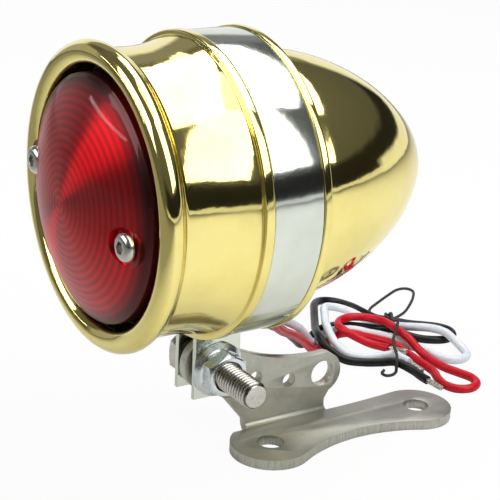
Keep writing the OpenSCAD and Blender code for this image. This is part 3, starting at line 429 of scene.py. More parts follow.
WHITE_ROUTE = [
    (-14.4, -19.5, 42.6), (-14.4, -19.5, 39.6), (-15.8, -18.2, 36.2), (-19.8, -14.3, 32.5),
    (-26.5, -7.5, 27.8), (-33.7, 1, 22.3), (-40.5, 9.5, 16.5), (-46.5, 16.5, 10.5), (-51.5, 22.5, 4.8),
    (-55.9, 28, 1.8), (-59.8, 33.6, 1.5), (-61.7, 38, 1.5), (-61.2, 43, 1.5), (-58.3, 47.1, 1.5),
    (-54.6, 49.1, 1.6), (-49, 50.6, 2.5), (-43.8, 52.4, 2.7), (-38.5, 55.8, 1.5), (-33.5, 57.9, 1.5),
    (-28.7, 58.2, 1.5), (-24.6, 59.8, 1.5), (-22.9, 63.8, 1.5), (-24.6, 67.8, 1.5), (-28.7, 69.5, 1.8),
    (-33, 69.5, 3), (-37.3, 68.6, 4.7), (-42, 66.2, 4.9), (-47, 63.2, 4), (-51.4, 60.9, 3),
    (-55.1, 58.7, 2.7), (-60.5, 56, 1.8), (-67, 55.4, 1.5), (-72.5, 54.4, 1.8), (-76.6, 51.4, 2.4),
    (-76.8, 47, 3.4), (-73.2, 43.4, 4.4), (-68, 40, 4.9), (-62, 36.2, 4.9), (-54.5, 32.5, 4.9),
    (-47.5, 30.3, 3.8), (-42, 31.5, 2), (-38.5, 35.5, 1.5), (-36.2, 40, 2), (-33.6, 44, 2.7),
    (-31, 46, 2), (-28.2, 46.2, 1.8),
]
RED_ROUTE = [
    (-11.05, -20.55, 42.6), (-11.05, -20.55, 39.6), (-12.6, -19.2, 35.4), (-16.5, -15.4, 30.6),
    (-23, -8.6, 25.2), (-30.2, -0.4, 20), (-37, 7.5, 14.5), (-43, 15, 8.5), (-48, 21.5, 3.2),
    (-52.2, 28.2, 1.6), (-55.9, 34.4, 1.5), (-58, 38.6, 1.5), (-57.9, 41.8, 1.5), (-56.1, 44.4, 1.5),
    (-53, 46, 1.5), (-47, 47.8, 2.2), (-41, 49.4, 2.7), (-34, 50.2, 1.8), (-26.5, 50, 1.5),
    (-19.5, 49.3, 1.5), (-14.5, 47.2, 1.5), (-10, 46.2, 1.5), (-5.8, 47.7, 1.5), (-4, 51.8, 1.5),
    (-5.7, 55.9, 1.5), (-10, 57.5, 1.5), (-15, 56.2, 1.5), (-20.5, 54.6, 1.5), (-27, 54.4, 1.5),
    (-33, 54.3, 2.5), (-38.5, 53.6, 5), (-44.3, 53.2, 6), (-50, 54.2, 5.6), (-55.5, 53.8, 5.2),
    (-60, 51.2, 4.9), (-62.3, 46.8, 4.9), (-61.5, 42, 4.9), (-58, 38.7, 4.9), (-53.5, 38, 4.9),
    (-49.3, 39.8, 3.8), (-45.5, 42.8, 2.4), (-42, 44.8, 2.3), (-38.7, 46, 2.7),
]
TIE_ROUTE = [
    (-62, 62, 1.6), (-60.6, 61.4, 1.2), (-59.4, 60.6, 0.6), (-56, 58.5, 0.55), (-42.5, 50, 0.55),
    (-30, 42.3, 0.55), (-27.6, 40.5, 0.7), (-26.4, 39.6, 2.2), (-27.2, 40.1, 4), (-29.2, 41.5, 5.1),
    (-33.5, 44, 5.2), (-38.5, 47.2, 5.3), (-41, 49.5, 6), (-42.4, 51.4, 8), (-44.5, 53.4, 8.8),
    (-46.8, 55, 8.2), (-49.2, 56.3, 6.8), (-52, 57.4, 5.7), (-55, 59.3, 5.3), (-58, 61.3, 5.1),
    (-60.2, 62.6, 4.2), (-61.6, 62.9, 2.8),
]
BIG_LOOP_ROUTE = [
    (-62.5, 64.5, 1), (-63, 67, 0.55), (-65.5, 73, 0.55), (-70, 79, 0.55), (-75.5, 85, 0.55),
    (-80.5, 89, 0.55), (-84, 88.5, 0.55), (-84.5, 84.5, 0.55), (-81.5, 78, 0.55), (-77.5, 70.5, 0.55),
    (-74, 64.5, 0.55), (-70.5, 62, 0.55), (-66.5, 62.6, 0.6), (-63.8, 63.6, 1.2),
]
SMALL_LOOP_ROUTE = [
    (-29, 36.5, 0.55), (-27.4, 34.6, 0.55), (-25.4, 34.8, 0.55), (-25, 37, 0.55), (-26.2, 39.3, 0.6),
    (-27.6, 40.5, 0.7),
]
# The knot's middle in millimetres, its size in metres, its height as a share of that, and its steps
KNOT_SPOT = (-62.6, 63.4, 1.9)
KNOT_SIZE = 0.5 * MM
KNOT_LIFT = 1.3
KNOT_STEPS = 90
TIE_D = 1 * MM


def smooth_route(points, per=8):
    """Points in metres on the smooth curve through a route of millimetre points."""
    points = [Vector(p) for p in points]
    points = [2 * points[0] - points[1], *points, 2 * points[-1] - points[-2]]
    line = []
    for a, b, c, d in zip(points, points[1:], points[2:], points[3:]):
        for step in range(per):
            t = step / per
            line.append(0.5 * (
                2 * b + (c - a) * t + (2 * a - 5 * b + 4 * c - d) * t ** 2 + (3 * b - a - 3 * c + d) * t ** 3
            ))
    line.append(points[-2])
    return [p * MM for p in line]


def wire(node, route, material):
    """A lead's smooth cover along its route."""
    line = smooth_route(route)
    data = bpy.data.curves.new("covered_" + node, "CURVE")
    data.dimensions = "3D"
    data.bevel_depth = WIRE_D / 2
    data.bevel_resolution = 8
    data.use_fill_caps = True
    spline = data.splines.new("POLY")
    spline.points.add(len(line) - 1)
    for point, spot in zip(spline.points, line):
        point.co = (*spot, 1)
    spline.use_smooth = True
    piece = bpy.data.objects.new("covered_" + node, data)
    scene.collection.objects.link(piece)
    settle(piece, node, material)


# Meshes. Points closer than this, in metres, are one.
SAME_SPOT = 1e-7


def spread(start, end, steps):
    """Evenly spaced numbers from start to end."""
    return [start + (end - start) * k / steps for k in range(steps + 1)]


def link_mesh(name, vertices, faces):
    mesh = bpy.data.meshes.new(name)
    mesh.from_pydata([tuple(v) for v in vertices], [], faces)
    mesh.update()
    piece = bpy.data.objects.new(name, mesh)
    scene.collection.objects.link(piece)
    return piece


def tidy_mesh(piece):
    """Joins points that coincide and turns all faces outwards."""
    work = bmesh.new()
    work.from_mesh(piece.data)
    bmesh.ops.remove_doubles(work, verts=work.verts, dist=SAME_SPOT)
    bmesh.ops.dissolve_degenerate(work, edges=work.edges, dist=SAME_SPOT)
    bmesh.ops.recalc_face_normals(work, faces=work.faces)
    if work.calc_volume(signed=True) < 0:
        bmesh.ops.reverse_faces(work, faces=work.faces)
    work.to_mesh(piece.data)
    work.free()
    return piece


# From the axis of a turned piece to the row frame: along the lamp (+Y), and across it (+X)
ALONG_LAMP = Matrix(((1, 0, 0), (0, 0, 1), (0, -1, 0)))
ACROSS_LAMP = Matrix(((0, 0, 1), (0, 1, 0), (-1, 0, 0)))


def ring_faces(rings, sides, closed=False):
    """Faces between rings of points that follow each other, and from the last to the first if closed."""
    faces = []
    for i in range(rings if closed else rings - 1):
        a, b = i * sides, (i + 1) % rings * sides
        faces += [(a + k, a + (k + 1) % sides, b + (k + 1) % sides, b + k) for k in range(sides)]
    return faces


def end_faces(rings, sides):
    """Faces that close the first and the last ring."""
    return [tuple(range(sides)), tuple((rings - 1) * sides + k for k in range(sides))]


def turned(name, rows, axes, origin, steps=256):
    """Surface through rows of (distance along the axis, radius), in millimetres.

    A radius may be a function of the angle. Rows that start on the axis end there, and others go round
    to the first again.
    """
    vertices = []
    for along, radius in rows:
        for k in range(steps):
            angle = 2 * math.pi * k / steps
            r = radius(angle) if callable(radius) else radius
            local = Vector((r * math.cos(angle), r * math.sin(angle), along)) * MM
            vertices.append(origin + axes @ local)
    faces = ring_faces(len(rows), steps, closed=rows[0][1] != 0)
    return tidy_mesh(link_mesh(name, vertices, faces))


def rod(name, start, end, radius, axes, origin):
    return turned(name, [(start, 0), (start, radius), (end, radius), (end, 0)], axes, origin, 64)


def rounded(corners, arc_steps=6):
    """Points of a line through (x, y, radius) corners, each rounded to its radius."""
    points = []
    for i, (x, y, radius) in enumerate(corners):
        here = Vector((x, y))
        if not radius:
            points.append(here)
            continue
        before = (Vector(corners[i - 1][:2]) - here).normalized()
        after = (Vector(corners[(i + 1) % len(corners)][:2]) - here).normalized()
        half = before.angle(after) / 2
        reach = radius / math.tan(half)
        start, end = here + before * reach, here + after * reach
        for k in range(arc_steps + 1):
            t = k / arc_steps
            points.append(here + (start - here) * (1 - t) ** 2 + (end - here) * t ** 2)
    return points


def arc(x, y, radius, start, end, steps):
    """Points of an arc in a profile's plane, its angles in degrees."""
    angles = [math.radians(angle) for angle in spread(start, end, steps)]
    return [Vector((x + radius * math.cos(a), y + radius * math.sin(a))) for a in angles]


def cut(piece, *tools, operation="DIFFERENCE"):
    """Cuts tools from a piece, or joins them to it, and deletes them."""
    for tool in tools:
        change = piece.modifiers.new("cut", "BOOLEAN")
        change.operation = operation
        change.solver = "EXACT"
        change.object = tool
        apply_modifiers(piece)
        bpy.data.objects.remove(tool)
    return piece


def apply_modifiers(piece):
    bpy.context.view_layer.update()
    shaped = bpy.data.meshes.new_from_object(piece.evaluated_get(bpy.context.evaluated_depsgraph_get()))
    piece.modifiers.clear()
    piece.data = shaped


def softened(node, width):
    """Copy of a CAD node's mesh with its hard edges rounded to a width in millimetres."""
    same_spot, flat, hard = 1e-6, math.radians(0.5), math.radians(30)
    mesh = frame["nodes"][node].data.copy()
    piece = bpy.data.objects.new("finished_" + node, mesh)
    scene.collection.objects.link(piece)
    work = bmesh.new()
    work.from_mesh(mesh)
    bmesh.ops.remove_doubles(work, verts=work.verts, dist=same_spot)
    bmesh.ops.dissolve_limit(work, angle_limit=flat, verts=work.verts, edges=work.edges)
    bmesh.ops.recalc_face_normals(work, faces=work.faces)
    work.to_mesh(mesh)
    work.free()
    bevel = piece.modifiers.new("bevel", "BEVEL")
    bevel.width = width * MM
    bevel.segments = 2
    bevel.limit_method = "ANGLE"
    bevel.angle_limit = hard
    apply_modifiers(piece)
    return piece


# Sizes of the housing, as part.scad has them, in millimetres from the middle of the band
RIB_R = (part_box("front_shell")[1].z - LAMP.z) / MM
BAND_W = (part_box("clamp_band")[1].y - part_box("clamp_band")[0].y) / MM
BULLET_LEN = (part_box("rear_shell")[1].y - LAMP.y) / MM
SHELL_WALL = 1.2
SHELL_LEN = 24.4
BAND_T = 1.5
BAND_BELOW = 0.4
RUN_GAP = 0.1
SIDE_GAP = 0.1
SEAT_GAP = 0.05
FRONT_RIB_W = 2.9
REAR_RIB_W = 2.4
RIB_DROP = 1.4
WAIST_DEPTH = 2.1
RIM_ROLL = 3.2
RIM_R = 41.2
RIM_FLARE = 0.9
BULLET_R = 35.2
BULLET_STRAIGHT = 6
BULLET_FULLNESS = 1.68
BULLET_ROUNDNESS = 1.63
GROMMET_BACK = 20
GROMMET_HOLE_R = 4.6
RIB_ROUND = 0.65
NECK_ROUND = 0.15
BAND_R = RIB_R - BAND_BELOW
NECK_R = BAND_R - BAND_T - RUN_GAP
NECK_IN = NECK_R - SHELL_WALL
RIB_Y = BAND_W / 2 + SIDE_GAP
FRONT_RIB_Y = -RIB_Y - FRONT_RIB_W
REAR_RIB_Y = RIB_Y + REAR_RIB_W
END_R = RIB_R - RIB_DROP
WAIST_R = END_R - WAIST_DEPTH
RIM_Y = FRONT_RIB_Y - SHELL_LEN
WAIST_Y = (FRONT_RIB_Y + RIM_Y) / 2
BULLET_Y = REAR_RIB_Y + BULLET_STRAIGHT


def shell_r(y):
    """Outer radius of the waisted front shell at a distance along the lamp."""
    if y > WAIST_Y:
        return WAIST_R + WAIST_DEPTH * ((y - WAIST_Y) / (FRONT_RIB_Y - WAIST_Y)) ** 2
    return WAIST_R + RIM_FLARE * ((WAIST_Y - y) / (WAIST_Y - RIM_Y)) ** 2


def front_shell():
    """Neck, rib, waisted shell and the rolled rim, all one sheet of brass; its inside is rough, and coloured near
    black as painted shade.
    """
    end_round = 0.55
    rib_lead, roll_lead, inner_lead, neck_lead = 0.6, 0.9, 1.6, 1
    roll_skip, roll_end = 12, -215
    roll_x = RIM_R - RIM_ROLL

    def roll_spot(angle):
        a = math.radians(angle)
        return roll_x + RIM_ROLL * math.sin(a), RIM_Y + RIM_ROLL * math.cos(a)

    meet = next(angle for angle in range(5, 90) if roll_spot(angle)[0] >= shell_r(roll_spot(angle)[1]))
    outer = spread(FRONT_RIB_Y - rib_lead, roll_spot(meet)[1] + roll_lead, 40)
    profile = rounded([
        (NECK_R, -SEAT_GAP, 0), (NECK_R, -RIB_Y, NECK_ROUND), (RIB_R, -RIB_Y, RIB_ROUND),
        (RIB_R, FRONT_RIB_Y, RIB_ROUND), (END_R, FRONT_RIB_Y, end_round), (shell_r(outer[0]), outer[0], 0),
    ])
    profile += [Vector((shell_r(y), y)) for y in outer[1:]]
    profile += arc(roll_x, RIM_Y, RIM_ROLL, 90 - meet - roll_skip, roll_end, 48)
    profile += [Vector((shell_r(y) - SHELL_WALL, y)) for y in spread(RIM_Y + inner_lead, FRONT_RIB_Y, 24)]
    profile += [Vector((NECK_IN, FRONT_RIB_Y + neck_lead)), Vector((NECK_IN, -SEAT_GAP))]
    piece = turned("front_shell_brass", [(p.y, p.x) for p in profile], ALONG_LAMP, LAMP)
    settle(piece, "front_shell", BRASS, sharp=50)
    # The shell's inside takes the near-black brass, which is painted shade
    piece.data.materials.append(SHADED_INSIDE_BRASS)
    rim_lead, slack = 1, 0.3
    for face in piece.data.polygons:
        spot = (face.center - LAMP) / MM
        inside = math.hypot(spot.x, spot.z) < shell_r(spot.y) - SHELL_WALL + slack
        if inside and spot.y > RIM_Y + rim_lead:
            face.material_index = 1


def bullet_line(start_r, tip, steps):
    """Points of a bullet's line from its straight part to its tip, close together near the tip."""
    points = []
    for angle in spread(0, 90, steps):
        share = math.sin(math.radians(angle))
        radius = start_r * max(0, 1 - share ** BULLET_FULLNESS) ** (1 / BULLET_ROUNDNESS)
        points.append(Vector((radius, BULLET_Y + (tip - BULLET_Y) * share)))
    return points


def rear_shell():
    """Neck, rib and bullet, with a hole underneath for the grommet."""
    bullet_fillet = 0.4
    hole_bottom, hole_top = -38, -28
    inner_r, inner_y = BULLET_R - SHELL_WALL, REAR_RIB_Y - SHELL_WALL
    profile = rounded([
        (NECK_IN, SEAT_GAP, 0), (NECK_R, SEAT_GAP, 0), (NECK_R, RIB_Y, NECK_ROUND),
        (RIB_R, RIB_Y, RIB_ROUND), (RIB_R, REAR_RIB_Y, RIB_ROUND),
        (BULLET_R, REAR_RIB_Y, bullet_fillet), (BULLET_R, BULLET_Y, 0),
    ])
    profile += bullet_line(BULLET_R, BULLET_LEN, 90)[1:]
    profile += reversed(bullet_line(inner_r, BULLET_LEN - SHELL_WALL, 30))
    profile += [Vector((inner_r, inner_y)), Vector((NECK_IN, inner_y))]
    shell = turned("rear_shell_brass", [(p.y, p.x) for p in profile], ALONG_LAMP, LAMP)
    spot = LAMP + Vector((0, GROMMET_BACK, 0)) * MM
    return cut(shell, rod("grommet_hole", hole_bottom, hole_top, GROMMET_HOLE_R, Matrix.Identity(3), spot))


# Lens, in millimetres as above
LENS_T = 2.4
LENS_OUT = 2.7
SKIRT = 10
DOME_H = 9
SCREW_INSET = 7
SCREW_TURN = math.radians(-9)
SCREW_HOLE_R = 2.2
SEAT_SINK = 0.9
RECESS_R = 5
BOSS_R = 5.5
BOSS_LEN = 6.2
# The rounded edge: how far its points lie behind the edge and inside the radius
EDGE_BEND = ((0.12, 0.45), (0.45, 0.1), (1, 0))
# A ring's profile: its points as shares of the pitch, and their heights over the inner dome
RING_BEND = ((0, 0), (0.4, 0.5), (0.9, 0.06))
RINGS_END = 2
LENS_EDGE_Y = RIM_Y - LENS_OUT
SCREW_OUT = LENS_R - SCREW_INSET
DOME_R = (LENS_R ** 2 + DOME_H ** 2) / (2 * DOME_H)
DOME_Y = LENS_EDGE_Y - DOME_H + DOME_R
SEAT_Y = DOME_Y - math.sqrt(DOME_R ** 2 - SCREW_OUT ** 2) + SEAT_SINK


def dome_at(r, sphere):
    """Distance along the lamp at which a sphere of the dome has a radius."""
    return DOME_Y - math.sqrt(sphere ** 2 - r ** 2)


def lens_screw_spots():
    """Where the two lens screws' axes pass, in metres in the row frame."""
    for side in (0, math.pi):
        angle = SCREW_TURN + side
        yield LAMP + Vector((math.cos(angle), 0, math.sin(angle))) * SCREW_OUT * MM


def lens():
    """Dome and skirt with rings inside, and a boss and a recess at each screw."""
    edge_round, seat_round, boss_taper, hole_past, recess_out = 0.9, 0.4, 0.2, 1, 16
    inner_r, inner_dome = LENS_R - LENS_T, DOME_R - LENS_T
    profile = [(dome_at(r, DOME_R), r) for r in spread(0, LENS_R - edge_round, 60)]
    profile += [(LENS_EDGE_Y + back, LENS_R - inset) for back, inset in EDGE_BEND]
    profile += [(LENS_EDGE_Y + SKIRT, LENS_R), (LENS_EDGE_Y + SKIRT, inner_r)]
    for k in range(int((inner_r - RINGS_END) / RING_PITCH)):
        for share, height in RING_BEND:
            r = inner_r - (k + share) * RING_PITCH
            profile.append((dome_at(r, inner_dome) + height, r))
    profile.append((dome_at(0, inner_dome), 0))
    piece = turned("red_lens_moulding", profile, ALONG_LAMP, LAMP, 240)
    boss_end = SEAT_Y + BOSS_LEN
    boss = [
        (SEAT_Y + seat_round, 0), (SEAT_Y + seat_round, BOSS_R), (boss_end, BOSS_R - boss_taper),
        (boss_end, 0),
    ]
    recess = [
        (SEAT_Y - recess_out, 0), (SEAT_Y - recess_out, RECESS_R), (SEAT_Y - seat_round, RECESS_R),
        (SEAT_Y, RECESS_R - seat_round), (SEAT_Y, SCREW_HOLE_R), (boss_end + hole_past, SCREW_HOLE_R),
        (boss_end + hole_past, 0),
    ]
    for name, rows, operation in (("boss", boss, "UNION"), ("recess", recess, "DIFFERENCE")):
        tools = [
            turned(f"{name}_{n}", rows, ALONG_LAMP, spot, 64) for n, spot in enumerate(lens_screw_spots())
        ]
        cut(piece, *tools, operation=operation)
    return piece


def lens_screws():
    """Button heads with a hexagon socket, on plain shanks."""
    head_r, head_h, side_h, top_r, edge = 4, 2.4, 0.5, 2.3, 0.12
    socket_w, socket_depth, socket_flare = 3, 1.6, 0.14
    shank_r, shank_len, chamfer = 2, 18, 0.4

    def socket(angle):
        return hexagon(angle, socket_w / 2)

    rows = [(socket_depth - head_h, 0), (socket_depth - head_h, socket), (edge - head_h, socket)]
    rows.append((-head_h, lambda angle: socket(angle) + socket_flare))
    for angle in spread(0, 90, 12):
        a = math.radians(angle)
        rows.append((-side_h - (head_h - side_h) * math.cos(a), top_r + (head_r - top_r) * math.sin(a)))
    rows += [
        (-edge, head_r), (0, head_r - edge), (0, shank_r), (shank_len - chamfer, shank_r),
        (shank_len, shank_r - chamfer), (shank_len, 0),
    ]
    heads = [
        turned(f"head_{n}", rows, ALONG_LAMP, spot + Vector((0, SEAT_Y * MM, 0)), 120)
        for n, spot in enumerate(lens_screw_spots())
    ]
    return joined("lens_button_screws", heads)


def joined(name, pieces):
    """One object of several, each keeping its own shape."""
    work = bmesh.new()
    for piece in pieces:
        work.from_mesh(piece.data)
        bpy.data.objects.remove(piece)
    mesh = bpy.data.meshes.new(name)
    work.to_mesh(mesh)
    work.free()
    whole = bpy.data.objects.new(name, mesh)
    scene.collection.objects.link(whole)
    return whole


def hexagon(angle, half_flats):
    """Radius of a hexagon at an angle, its corners at multiples of 60 degrees."""
    return half_flats / math.cos(angle % (math.pi / 3) - math.pi / 6)


def hex_row(along, half_flats, limit):
    """Row of a turned piece: a hexagon with its corners cut back to a limit."""
    return along, lambda angle: min(hexagon(angle, half_flats), limit)


def cone_row(along, half_flats, radius):
    """Row of a turned piece: a circle with a hexagon's corners standing out of it."""
    return along, lambda angle: max(hexagon(angle, half_flats), radius)


# Clamp, in millimetres as above
SPACER_T = 2.35
EAR_IN = PLATE_T / 2 + SPACER_T + SIDE_GAP
EAR_OUT = EAR_IN + BAND_T
EAR_BOTTOM = (LAMP.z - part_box("clamp_band")[0].z) / MM
BOLT_D = 8
BOLT_PLAY = 0.2
BOLT_END = (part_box("clamp_bolt")[1].x - BOLT.x) / MM
THREAD_PITCH = 1.25
THREAD_DEPTH = 0.72
# Shares of half a pitch that the thread's flat crest and its flank take
THREAD_CREST = 0.12
THREAD_FLANK = 0.7
HEAD_FLATS = 13
HEAD_H = 5.3
NUT_FLATS = 12
NUT_H = 6.5
FLANGE_D = 16


def swept_strip(name, path, normals, width, thick, edge):
    """Strip of metal along a path in the lamp's XZ plane, with rounded edges. Millimetres."""
    w, t = width / 2, thick / 2
    ring = [(p.x, p.y) for p in rounded([(-w, -t, edge), (w, -t, edge), (w, t, edge), (-w, t, edge)], 4)]
    vertices = []
    for spot, normal in zip(path, normals):
        for y, out in ring:
            vertices.append(LAMP + Vector((spot.x + normal.x * out, y, spot.y + normal.y * out)) * MM)
    faces = ring_faces(len(path), len(ring)) + end_faces(len(path), len(ring))
    return tidy_mesh(link_mesh(name, vertices, faces))


def clamp_band():
    """Ring and two ears, bent from one strip, with a small bend where each ear leaves the ring."""
    middle = BAND_R - BAND_T / 2
    ear_x = EAR_IN + BAND_T / 2
    bend, edge, hole_half = 1.7, 0.3, 8
    end_lead, bend_lead = 4, 2
    # The bend's circle touches the ear's line and the ring from outside
    bend_x = ear_x + bend
    bend_z = -math.sqrt((middle + bend) ** 2 - bend_x ** 2)
    turn = math.degrees(math.atan2(bend_z, bend_x))
    right = [Vector((ear_x, z)) for z in (-EAR_BOTTOM, -EAR_BOTTOM + end_lead, bend_z - bend_lead)]
    right += arc(bend_x, bend_z, bend, 180, turn + 180, 10)
    ring = arc(0, 0, middle, turn, 180 - turn, 300)
    left = [Vector((-p.x, p.y)) for p in reversed(right)]
    path = right + ring[1:-1] + left
    normals = []
    for i in range(len(path)):
        along = (path[min(i + 1, len(path) - 1)] - path[max(i - 1, 0)]).normalized()
        normals.append(Vector((along.y, -along.x)))
    strip = swept_strip("clamp_band_strip", path, normals, BAND_W, BAND_T, edge)
    return cut(strip, rod("bolt_hole", -hole_half, hole_half, BOLT_D / 2 + BOLT_PLAY, ACROSS_LAMP, BOLT))


def thread_cut(along, angle):
    """Depth of a right-hand thread at a distance along it and an angle."""
    phase = (along / THREAD_PITCH + angle / (2 * math.pi)) % 1
    away = abs(phase - 0.5) * 2
    return THREAD_DEPTH * min(1, max(0, (away - THREAD_CREST) / THREAD_FLANK))


def clamp_bolt():
    """Hexagon head with a chamfer, plain shank, and a thread up to a chamfered tip."""
    half = HEAD_FLATS / 2
    corner = half / math.cos(math.pi / 6)
    head_end = -EAR_OUT - HEAD_H
    shank_r = BOLT_D / 2
    face_r, face_round, face_lift = half - 0.35, 0.15, 0.02
    chamfer_h, under_h, under_round = 0.9, 0.25, 0.2
    thread_start = EAR_OUT + 0.1
    thread_steps, run_in, tip_h, tip_slope = 20, 1.5, 0.9, 0.95

    def thread_row(x):
        """Row of the thread, which starts shallow and narrows at the tip."""
        share = min(1, (x - thread_start) / run_in)
        limit = shank_r - max(0, x - (BOLT_END - tip_h)) * tip_slope
        return x, lambda angle: min(shank_r - thread_cut(x, angle) * share, limit)

    rows = [(head_end, 0), (head_end, face_r - face_round), hex_row(head_end + face_lift, half, face_r)]
    chamfer = zip(spread(head_end, head_end + chamfer_h, 6), spread(face_r, corner, 6))
    rows += [hex_row(x, half, limit) for x, limit in list(chamfer)[1:]]
    rows += [hex_row(-EAR_OUT - under_h, half, corner), hex_row(-EAR_OUT, half, corner - under_round)]
    rows += [(-EAR_OUT, shank_r), (EAR_OUT, shank_r)]
    count = int((BOLT_END - thread_start) / THREAD_PITCH * thread_steps)
    rows += [thread_row(x) for x in spread(thread_start, BOLT_END, count)]
    rows.append((BOLT_END, 0))
    return turned("clamp_bolt_threaded", rows, ACROSS_LAMP, BOLT, 120)


def threaded_steel():
    """Nickel steel, painted dark in the roots of the bolt's thread as painted shade, but not on its flat end."""
    paint = Paint("threaded_steel").set(Metallic=1.0)
    tone = paint.ramp(paint.noise(3 * MM, 4, 0.55), (0.3, (0.5, 0.48, 0.44)), (0.7, (0.64, 0.62, 0.58)))
    # Painted shade: dark up to the first share of the bolt's diameter from its axis, and plain past the second
    share = paint.math("MULTIPLY", paint.away(Y=BOLT.y, Z=BOLT.z), 1 / (BOLT_D * MM))
    root_shade = paint.ramp(share, (0.43, 0.92), (0.485, 0.0))
    end_skin = 0.2
    inside = paint.math("LESS_THAN", paint.axis("X"), BOLT.x + (BOLT_END - end_skin) * MM)
    paint.link(paint.mix(paint.math("MULTIPLY", root_shade, inside), tone, (0.07, 0.065, 0.05)), "Base Color")
    paint.link(paint.ramp(paint.noise(1.2 * MM, 5, 0.6), (0.3, 0.18), (0.7, 0.32)), "Roughness")
    return paint.material


def clamp_nut():
    """Bevelled flange, a cone on it, and a hexagon with a chamfer, round a hole."""
    half = NUT_FLATS / 2
    corner = half / math.cos(math.pi / 6)
    flange = FLANGE_D / 2
    end = EAR_OUT + NUT_H
    hole = BOLT_D / 2 + SEAT_GAP
    bevel, flange_side, flange_round = 0.3, 0.9, 0.2
    cone_start, cone_h, cone_bow = 1.25, 1.15, 0.8
    chamfer_h, end_lift, end_round = 0.95, 0.05, 0.15
    mouth_r, mouth_h = 0.55, 0.5
    rows = [
        (EAR_OUT, hole + bevel), (EAR_OUT, flange - bevel), (EAR_OUT + bevel, flange),
        (EAR_OUT + flange_side, flange), (EAR_OUT + flange_side + bevel, flange - flange_round),
    ]
    for share in spread(0, 1, 8):
        rise = cone_start + cone_h * math.sin(math.pi / 2 * share) ** cone_bow
        rows.append(cone_row(EAR_OUT + rise, half, flange - bevel - (flange - bevel - half) * share))
    chamfer = zip(spread(end - chamfer_h, end - end_lift, 6), spread(corner, half - bevel, 6))
    rows += [hex_row(along, half, limit) for along, limit in chamfer]
    rows += [(end, half - bevel - end_round), (end, hole + mouth_r), (end - mouth_h, hole)]
    return turned("clamp_nut_flanged", rows, ACROSS_LAMP, BOLT, 120)


def tube(name, points, radius, sides=16):
    """Closed-ended tube through points in metres."""
    vertices = []
    side = None
    for i, spot in enumerate(points):
        along = (points[min(i + 1, len(points) - 1)] - points[max(i - 1, 0)]).normalized()
        if side is None:
            side = along.orthogonal()
        side = (side - along * side.dot(along)).normalized()
        over = along.cross(side)
        for k in range(sides):
            angle = 2 * math.pi * k / sides
            vertices.append(spot + (side * math.cos(angle) + over * math.sin(angle)) * radius)
    faces = ring_faces(len(points), sides) + end_faces(len(points), sides)
    return tidy_mesh(link_mesh(name, vertices, faces))


def tie_cord():
    """Band round the bundle, two loose loops and a small knot."""
    routes = (TIE_ROUTE, BIG_LOOP_ROUTE, SMALL_LOOP_ROUTE)
    parts = [tube("tie_part", smooth_route(route), TIE_D / 2) for route in routes]
    knot = []
    for angle in spread(0, 2 * math.pi, KNOT_STEPS):
        knot.append(Vector(KNOT_SPOT) * MM + KNOT_SIZE * Vector((
            math.sin(angle) + 2 * math.sin(2 * angle),
            math.cos(angle) - 2 * math.cos(2 * angle),
            -KNOT_LIFT * math.sin(3 * angle),
        )))
    parts.append(tube("tie_part", knot, TIE_D / 2))
    return joined("bundle_tie", parts)


# Contact spring: its wire in metres, its turns and the steps of each
SPRING_WIRE = 0.8 * MM
SPRING_TURNS = 3
SPRING_STEPS = 32


def contact_spring():
    """Coil behind the contacts' carrier, at one fixed length."""
    low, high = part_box("contact_spring")
    radius = (high[0] - low[0] - SPRING_WIRE) / 2
    length = high[1] - low[1]
    coil = []
    for share in spread(0, 1, SPRING_TURNS * SPRING_STEPS):
        angle = 2 * math.pi * SPRING_TURNS * share
        coil.append(Vector((
            LAMP.x + radius * math.cos(angle),
            low[1] + SPRING_WIRE / 2 + (length - SPRING_WIRE) * share,
            LAMP.z + radius * math.sin(angle),
        )))
    piece = settle(tube("contact_coil", coil, SPRING_WIRE / 2), "contact_spring", ZINC)
    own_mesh(piece)


# The bracket's bend in metres: its radius, and its reach up from the floor and out from the middle
BEND_R = 1.6 * MM
BEND_REACH = PLATE_T * MM + BEND_R


def bracket():
    """Softened sheet. Faces that look away from its flat sides get the looks of cut metal."""
    flat_side, bend_side = 0.5, 0.6
    piece = settle(softened("bracket", 0.22), "bracket", SHEET)
    piece.data.materials.append(FOOT_CUT)
    piece.data.materials.append(PLATE_CUT)
    for face in piece.data.polygons:
        middle, normal = face.center, face.normal
        in_plate = middle.z > BEND_REACH
        in_foot = middle.x > LAMP.x + BEND_REACH
        if in_plate and abs(normal.x) < flat_side:
            face.material_index = 2
        elif not in_plate and (abs(normal.z) < flat_side if in_foot else abs(normal.y) > bend_side):
            face.material_index = 1


tie = settle(tie_cord(), "wire_tie", THREAD)
wire("wire_black", BLACK_ROUTE, WIRE_BLACK)
wire("wire_white", WHITE_ROUTE, WIRE_WHITE)
wire("wire_red", RED_ROUTE, WIRE_RED)

front_shell()
settle(rear_shell(), "rear_shell", BRASS, sharp=50)
settle(lens(), "lens", LENS, sharp=28)
settle(lens_screws(), "lens_screws", NICKEL)
settle(clamp_band(), "clamp_band", BAND)
settle(clamp_bolt(), "clamp_bolt", threaded_steel(), sharp=40)
settle(clamp_nut(), "clamp_nut", ZINC, sharp=32)
settle(softened("spacers", 0.25), "spacers", SHADED_SPACER_STEEL)
settle(softened("wire_grommet", 0.2), "wire_grommet", RUBBER)
contact_spring()
bracket()

# Floor: its side in metres, its pale greys, and the share of plain white in what the camera sees of it
FLOOR_SIZE = 3
FLOOR_PALE = ((0.3, 0.74), (0.7, 0.76))
FLOOR_WHITE = 0.94
# In front of the lens the floor turns grey: shares of a distance in metres, and shares of grey
FLOOR_SPAN = 0.25
FLOOR_AHEAD = ((0.24, 0.0), (0.9, 1.0))
FLOOR_GREY = (0.22, 0.22, 0.21)


